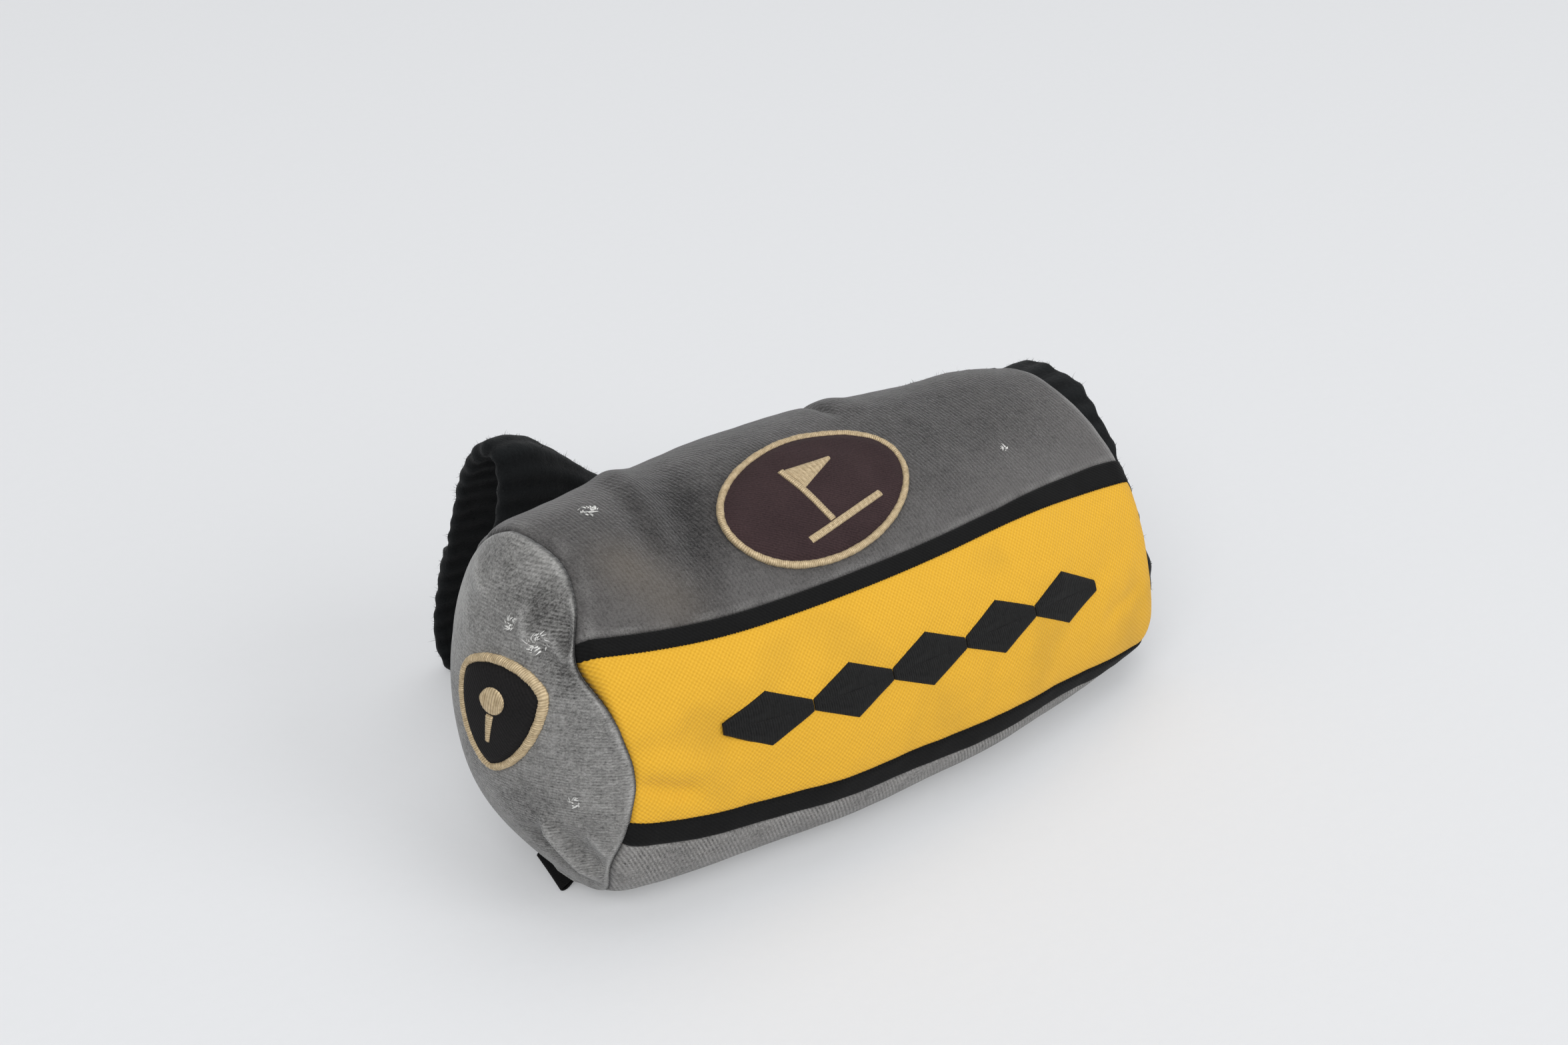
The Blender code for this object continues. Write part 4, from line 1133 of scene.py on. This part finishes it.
def woven(name, dark, light, pitch):
    """A tight woven cloth with fine diagonal lines, as twill tape has."""
    look = material(name, 0.85, sheen=0.03, specular=0.1)
    weave = node(look, "UVMap", uv_map="weave")
    split = node(look, "SeparateXYZ", {0: weave})
    slant = node(look, "Math", {0: split.node.outputs[0], 1: split.node.outputs[1]}, operation="ADD")
    phase = node(look, "Math", {0: slant, 1: 2 * pi / pitch}, operation="MULTIPLY")
    twill = node(look, "Math", {0: phase}, operation="SINE")
    fibre = node(look, "TexNoise", {"Vector": weave, "Scale": 1 / (0.4 * MM), "Detail": 3})
    patch = node(look, "TexNoise", {"Vector": weave, "Scale": 1 / (9 * MM), "Detail": 3})
    tone = node(look, "Math", {0: twill, 1: 0.12, 2: fibre}, operation="MULTIPLY_ADD")
    tone = node(look, "Math", {0: patch, 1: 0.5, 2: tone}, operation="MULTIPLY_ADD")
    tone = node(look, "Math", {0: tone, 1: 0.3}, operation="SUBTRACT", use_clamp=True)
    colour = node(look, "Mix", {0: tone, 6: linear(dark), 7: linear(light)}, out=2, data_type="RGBA")
    height = node(look, "Math", {0: twill, 1: 0.5, 2: fibre}, operation="MULTIPLY_ADD")
    return finished(look, colour, height, 0.4, 0.15 * MM)


def thread(name, dark, light, pitch, roughness, metallic=0.0):
    """Embroidery thread laid side by side: thin light and dark lines across each stitch row."""
    look = material(name, roughness, sheen=0.03, specular=0.5 * metallic + 0.12, metallic=metallic)
    weave = node(look, "UVMap", uv_map="weave")
    split = node(look, "SeparateXYZ", {0: weave})
    phase = node(look, "Math", {0: split.node.outputs[0], 1: 2 * pi / pitch}, operation="MULTIPLY")
    rows = node(look, "Math", {0: phase}, operation="SINE")
    fibre = node(look, "TexNoise", {"Vector": weave, "Scale": 1 / (0.7 * MM), "Detail": 3})
    tone = node(look, "Math", {0: rows, 1: 0.2, 2: fibre}, operation="MULTIPLY_ADD", use_clamp=True)
    colour = node(look, "Mix", {0: tone, 6: linear(dark), 7: linear(light)}, out=2, data_type="RGBA")
    return finished(look, colour, rows, 0.35, 0.12 * MM)


def rib_knit():
    """Acrylic rib knit: near black, matt and fuzzy, rows of stitches 1.4 mm apart across soft ribs."""
    look = material("acrylic rib knit, black", 1.0, sheen=0.09, specular=0.05)
    weave = node(look, "UVMap", uv_map="weave")
    split = node(look, "SeparateXYZ", {0: weave})
    row = node(look, "Math", {0: split.node.outputs[1], 1: 2 * pi / (1.4 * MM)}, operation="MULTIPLY")
    stitches = node(look, "Math", {0: row}, operation="SINE")
    fluff = node(look, "TexNoise", {"Vector": weave, "Scale": 1 / (0.5 * MM), "Detail": 4, "Roughness": 0.7})
    rib = node(look, "Attribute", out=2, attribute_name="rib")
    tone = node(look, "Math", {0: stitches, 1: 0.02, 2: fluff}, operation="MULTIPLY_ADD")
    tone = node(look, "Math", {0: rib, 1: 0.35, 2: tone}, operation="MULTIPLY_ADD")
    tone = node(look, "Math", {0: tone, 1: 0.3}, operation="SUBTRACT", use_clamp=True)
    colour = node(look, "Mix", {0: tone, 6: linear("#101112"), 7: linear("#222425")}, out=2, data_type="RGBA")
    height = node(look, "Math", {0: stitches, 1: 0.03, 2: fluff}, operation="MULTIPLY_ADD")
    return finished(look, colour, height, 0.6, 0.35 * MM)


def speckled(name, dark, light, grain, roughness):
    """An even material with a fine grain."""
    look = material(name, roughness)
    place = node(look, "TexCoord", out=3)
    grit = node(look, "TexNoise", {"Vector": place, "Scale": 1 / grain, "Detail": 3})
    colour = node(look, "Mix", {0: grit, 6: linear(dark), 7: linear(light)}, out=2, data_type="RGBA")
    return finished(look, colour, grit, 0.3, 0.2 * MM)


# Stage


def table_paint():
    """Pale paint, partly unshaded where it is the background, so that the shadows on it stay light."""
    look = speckled("painted table, pale", "#DDDEE0", "#DFE0E2", 3 * MM, 0.85)
    seen = node(look, "LightPath").node.outputs
    rays = node(look, "Math", {0: seen["Is Glossy Ray"], 1: seen["Is Transmission Ray"]}, operation="ADD")
    rays = node(look, "Math", {0: seen["Is Camera Ray"], 1: rays}, operation="ADD")
    share = node(look, "Math", {0: rays, 1: 0.3}, operation="MULTIPLY", use_clamp=True)
    glow = node(look, "Emission", {"Color": linear("#E5E6E7"), "Strength": 1.0})
    end = look.node_tree.nodes["Material Output"].inputs["Surface"]
    paint = end.links[0].from_socket
    look.node_tree.links.new(node(look, "MixShader", {0: share, 1: paint, 2: glow}), end)
    return look


def build_stage():
    bm = bmesh.new()
    bmesh.ops.create_grid(bm, x_segments=1, y_segments=1, size=12)
    mesh = bpy.data.meshes.new("floor")
    bm.to_mesh(mesh)
    bm.free()
    floor = bpy.data.objects.new("floor", mesh)
    bpy.context.scene.collection.objects.link(floor)
    mesh.materials.append(table_paint())

    world = bpy.data.worlds.new("studio")
    bpy.context.scene.world = world
    world.use_nodes = True
    world.node_tree.nodes["Background"].inputs["Color"].default_value = linear("#F1F3F6")
    world.node_tree.nodes["Background"].inputs["Strength"].default_value = 0.5
    for name, place, size, power in (
        ("ceiling", (0.5, 0.5, 2.6), 2.6, 21.0),
        ("window", (-1.5, -1.2, 1.9), 1.8, 30.0),
        ("fill", (0.9, -2.1, 1.3), 2.0, 27.0),
    ):
        lamp = bpy.data.lights.new(name, "AREA")
        lamp.shape, lamp.size, lamp.energy = "DISK", size, power
        lamp_object = bpy.data.objects.new(name, lamp)
        bpy.context.scene.collection.objects.link(lamp_object)
        aim = Vector((0, 0.01, 0.03)) - Vector(place)
        turned = aim.to_track_quat("-Z", "Y").to_matrix().to_4x4()
        lamp_object.matrix_world = Matrix.Translation(place) @ turned

    camera = bpy.data.cameras.new("camera")
    camera.sensor_width, camera.lens = 36, 55.1
    camera.clip_start = 0.01
    camera_object = bpy.data.objects.new("camera", camera)
    bpy.context.scene.collection.objects.link(camera_object)
    # It looks from this far round from the front and this far up
    azimuth, elevation = radians(38), radians(30)
    right = cos(azimuth), -sin(azimuth), 0
    up = sin(elevation) * sin(azimuth), sin(elevation) * cos(azimuth), cos(elevation)
    back = -cos(elevation) * sin(azimuth), -cos(elevation) * cos(azimuth), sin(elevation)
    turned = Matrix((right, up, back)).transposed().to_4x4()
    camera_object.matrix_world = Matrix.Translation((-0.26937, -0.32297, 0.29834)) @ turned
    bpy.context.scene.camera = camera_object


def build():
    bpy.context.scene.view_settings.view_transform = "Standard"
    build_stage()
    looks = {
        # One grey velour in three copies: the crown is painted darker and the sole and toe lighter, as
        # painted shade and light from how the pile leans and the light falls
        "velour": velour("cotton velour, grey crown", "#262525", "#5F5D5C", 0, 0.9 * MM, 0.1, 0.15),
        "sole": velour("cotton velour, grey sole", "#3A3938", "#9C9A97", 0, 0.86 * MM, 0.24, 0.5),
        "toe": velour("cotton velour, grey toe", "#403F3E", "#A09F9C", 1, 0.62 * MM, 0.12),
        "canvas": canvas(),
        "tape": woven("polyester twill tape, black", "#0A0A0A", "#1C1C1C", 0.9 * MM),
        "brown": woven("polyester twill, brown", "#22181A", "#483839", 0.8 * MM),
        "black": woven("polyester twill, black", "#101010", "#282626", 0.8 * MM),
        "gold": thread("metallic embroidery thread, gold", "#867150", "#E0CBA6", 0.4 * MM, 0.45, 0.3),
        "black_thread": thread("rayon embroidery thread, black", "#090909", "#232323", 0.55 * MM, 0.6),
        "white": speckled("cotton thread, white", "#C9C8C4", "#F0EFEC", 0.3 * MM, 0.9),
        "knit": rib_knit(),
        "foam": speckled("polyurethane foam, cream", "#C9C0AC", "#E0D8C6", 0.8 * MM, 0.9),
        "lining": speckled("nylon lining, charcoal", "#2C2C2E", "#3C3C3F", 0.4 * MM, 0.6),
        "elastic": speckled("woven elastic, black", "#1E1E20", "#303033", 0.6 * MM, 0.8),
    }
    build_pouch(looks)
    build_toe(looks)
    build_sock(looks)
    build_badges(looks)
    build_tufts(looks)
    build_tab(looks)
    build_inside(looks)


build()
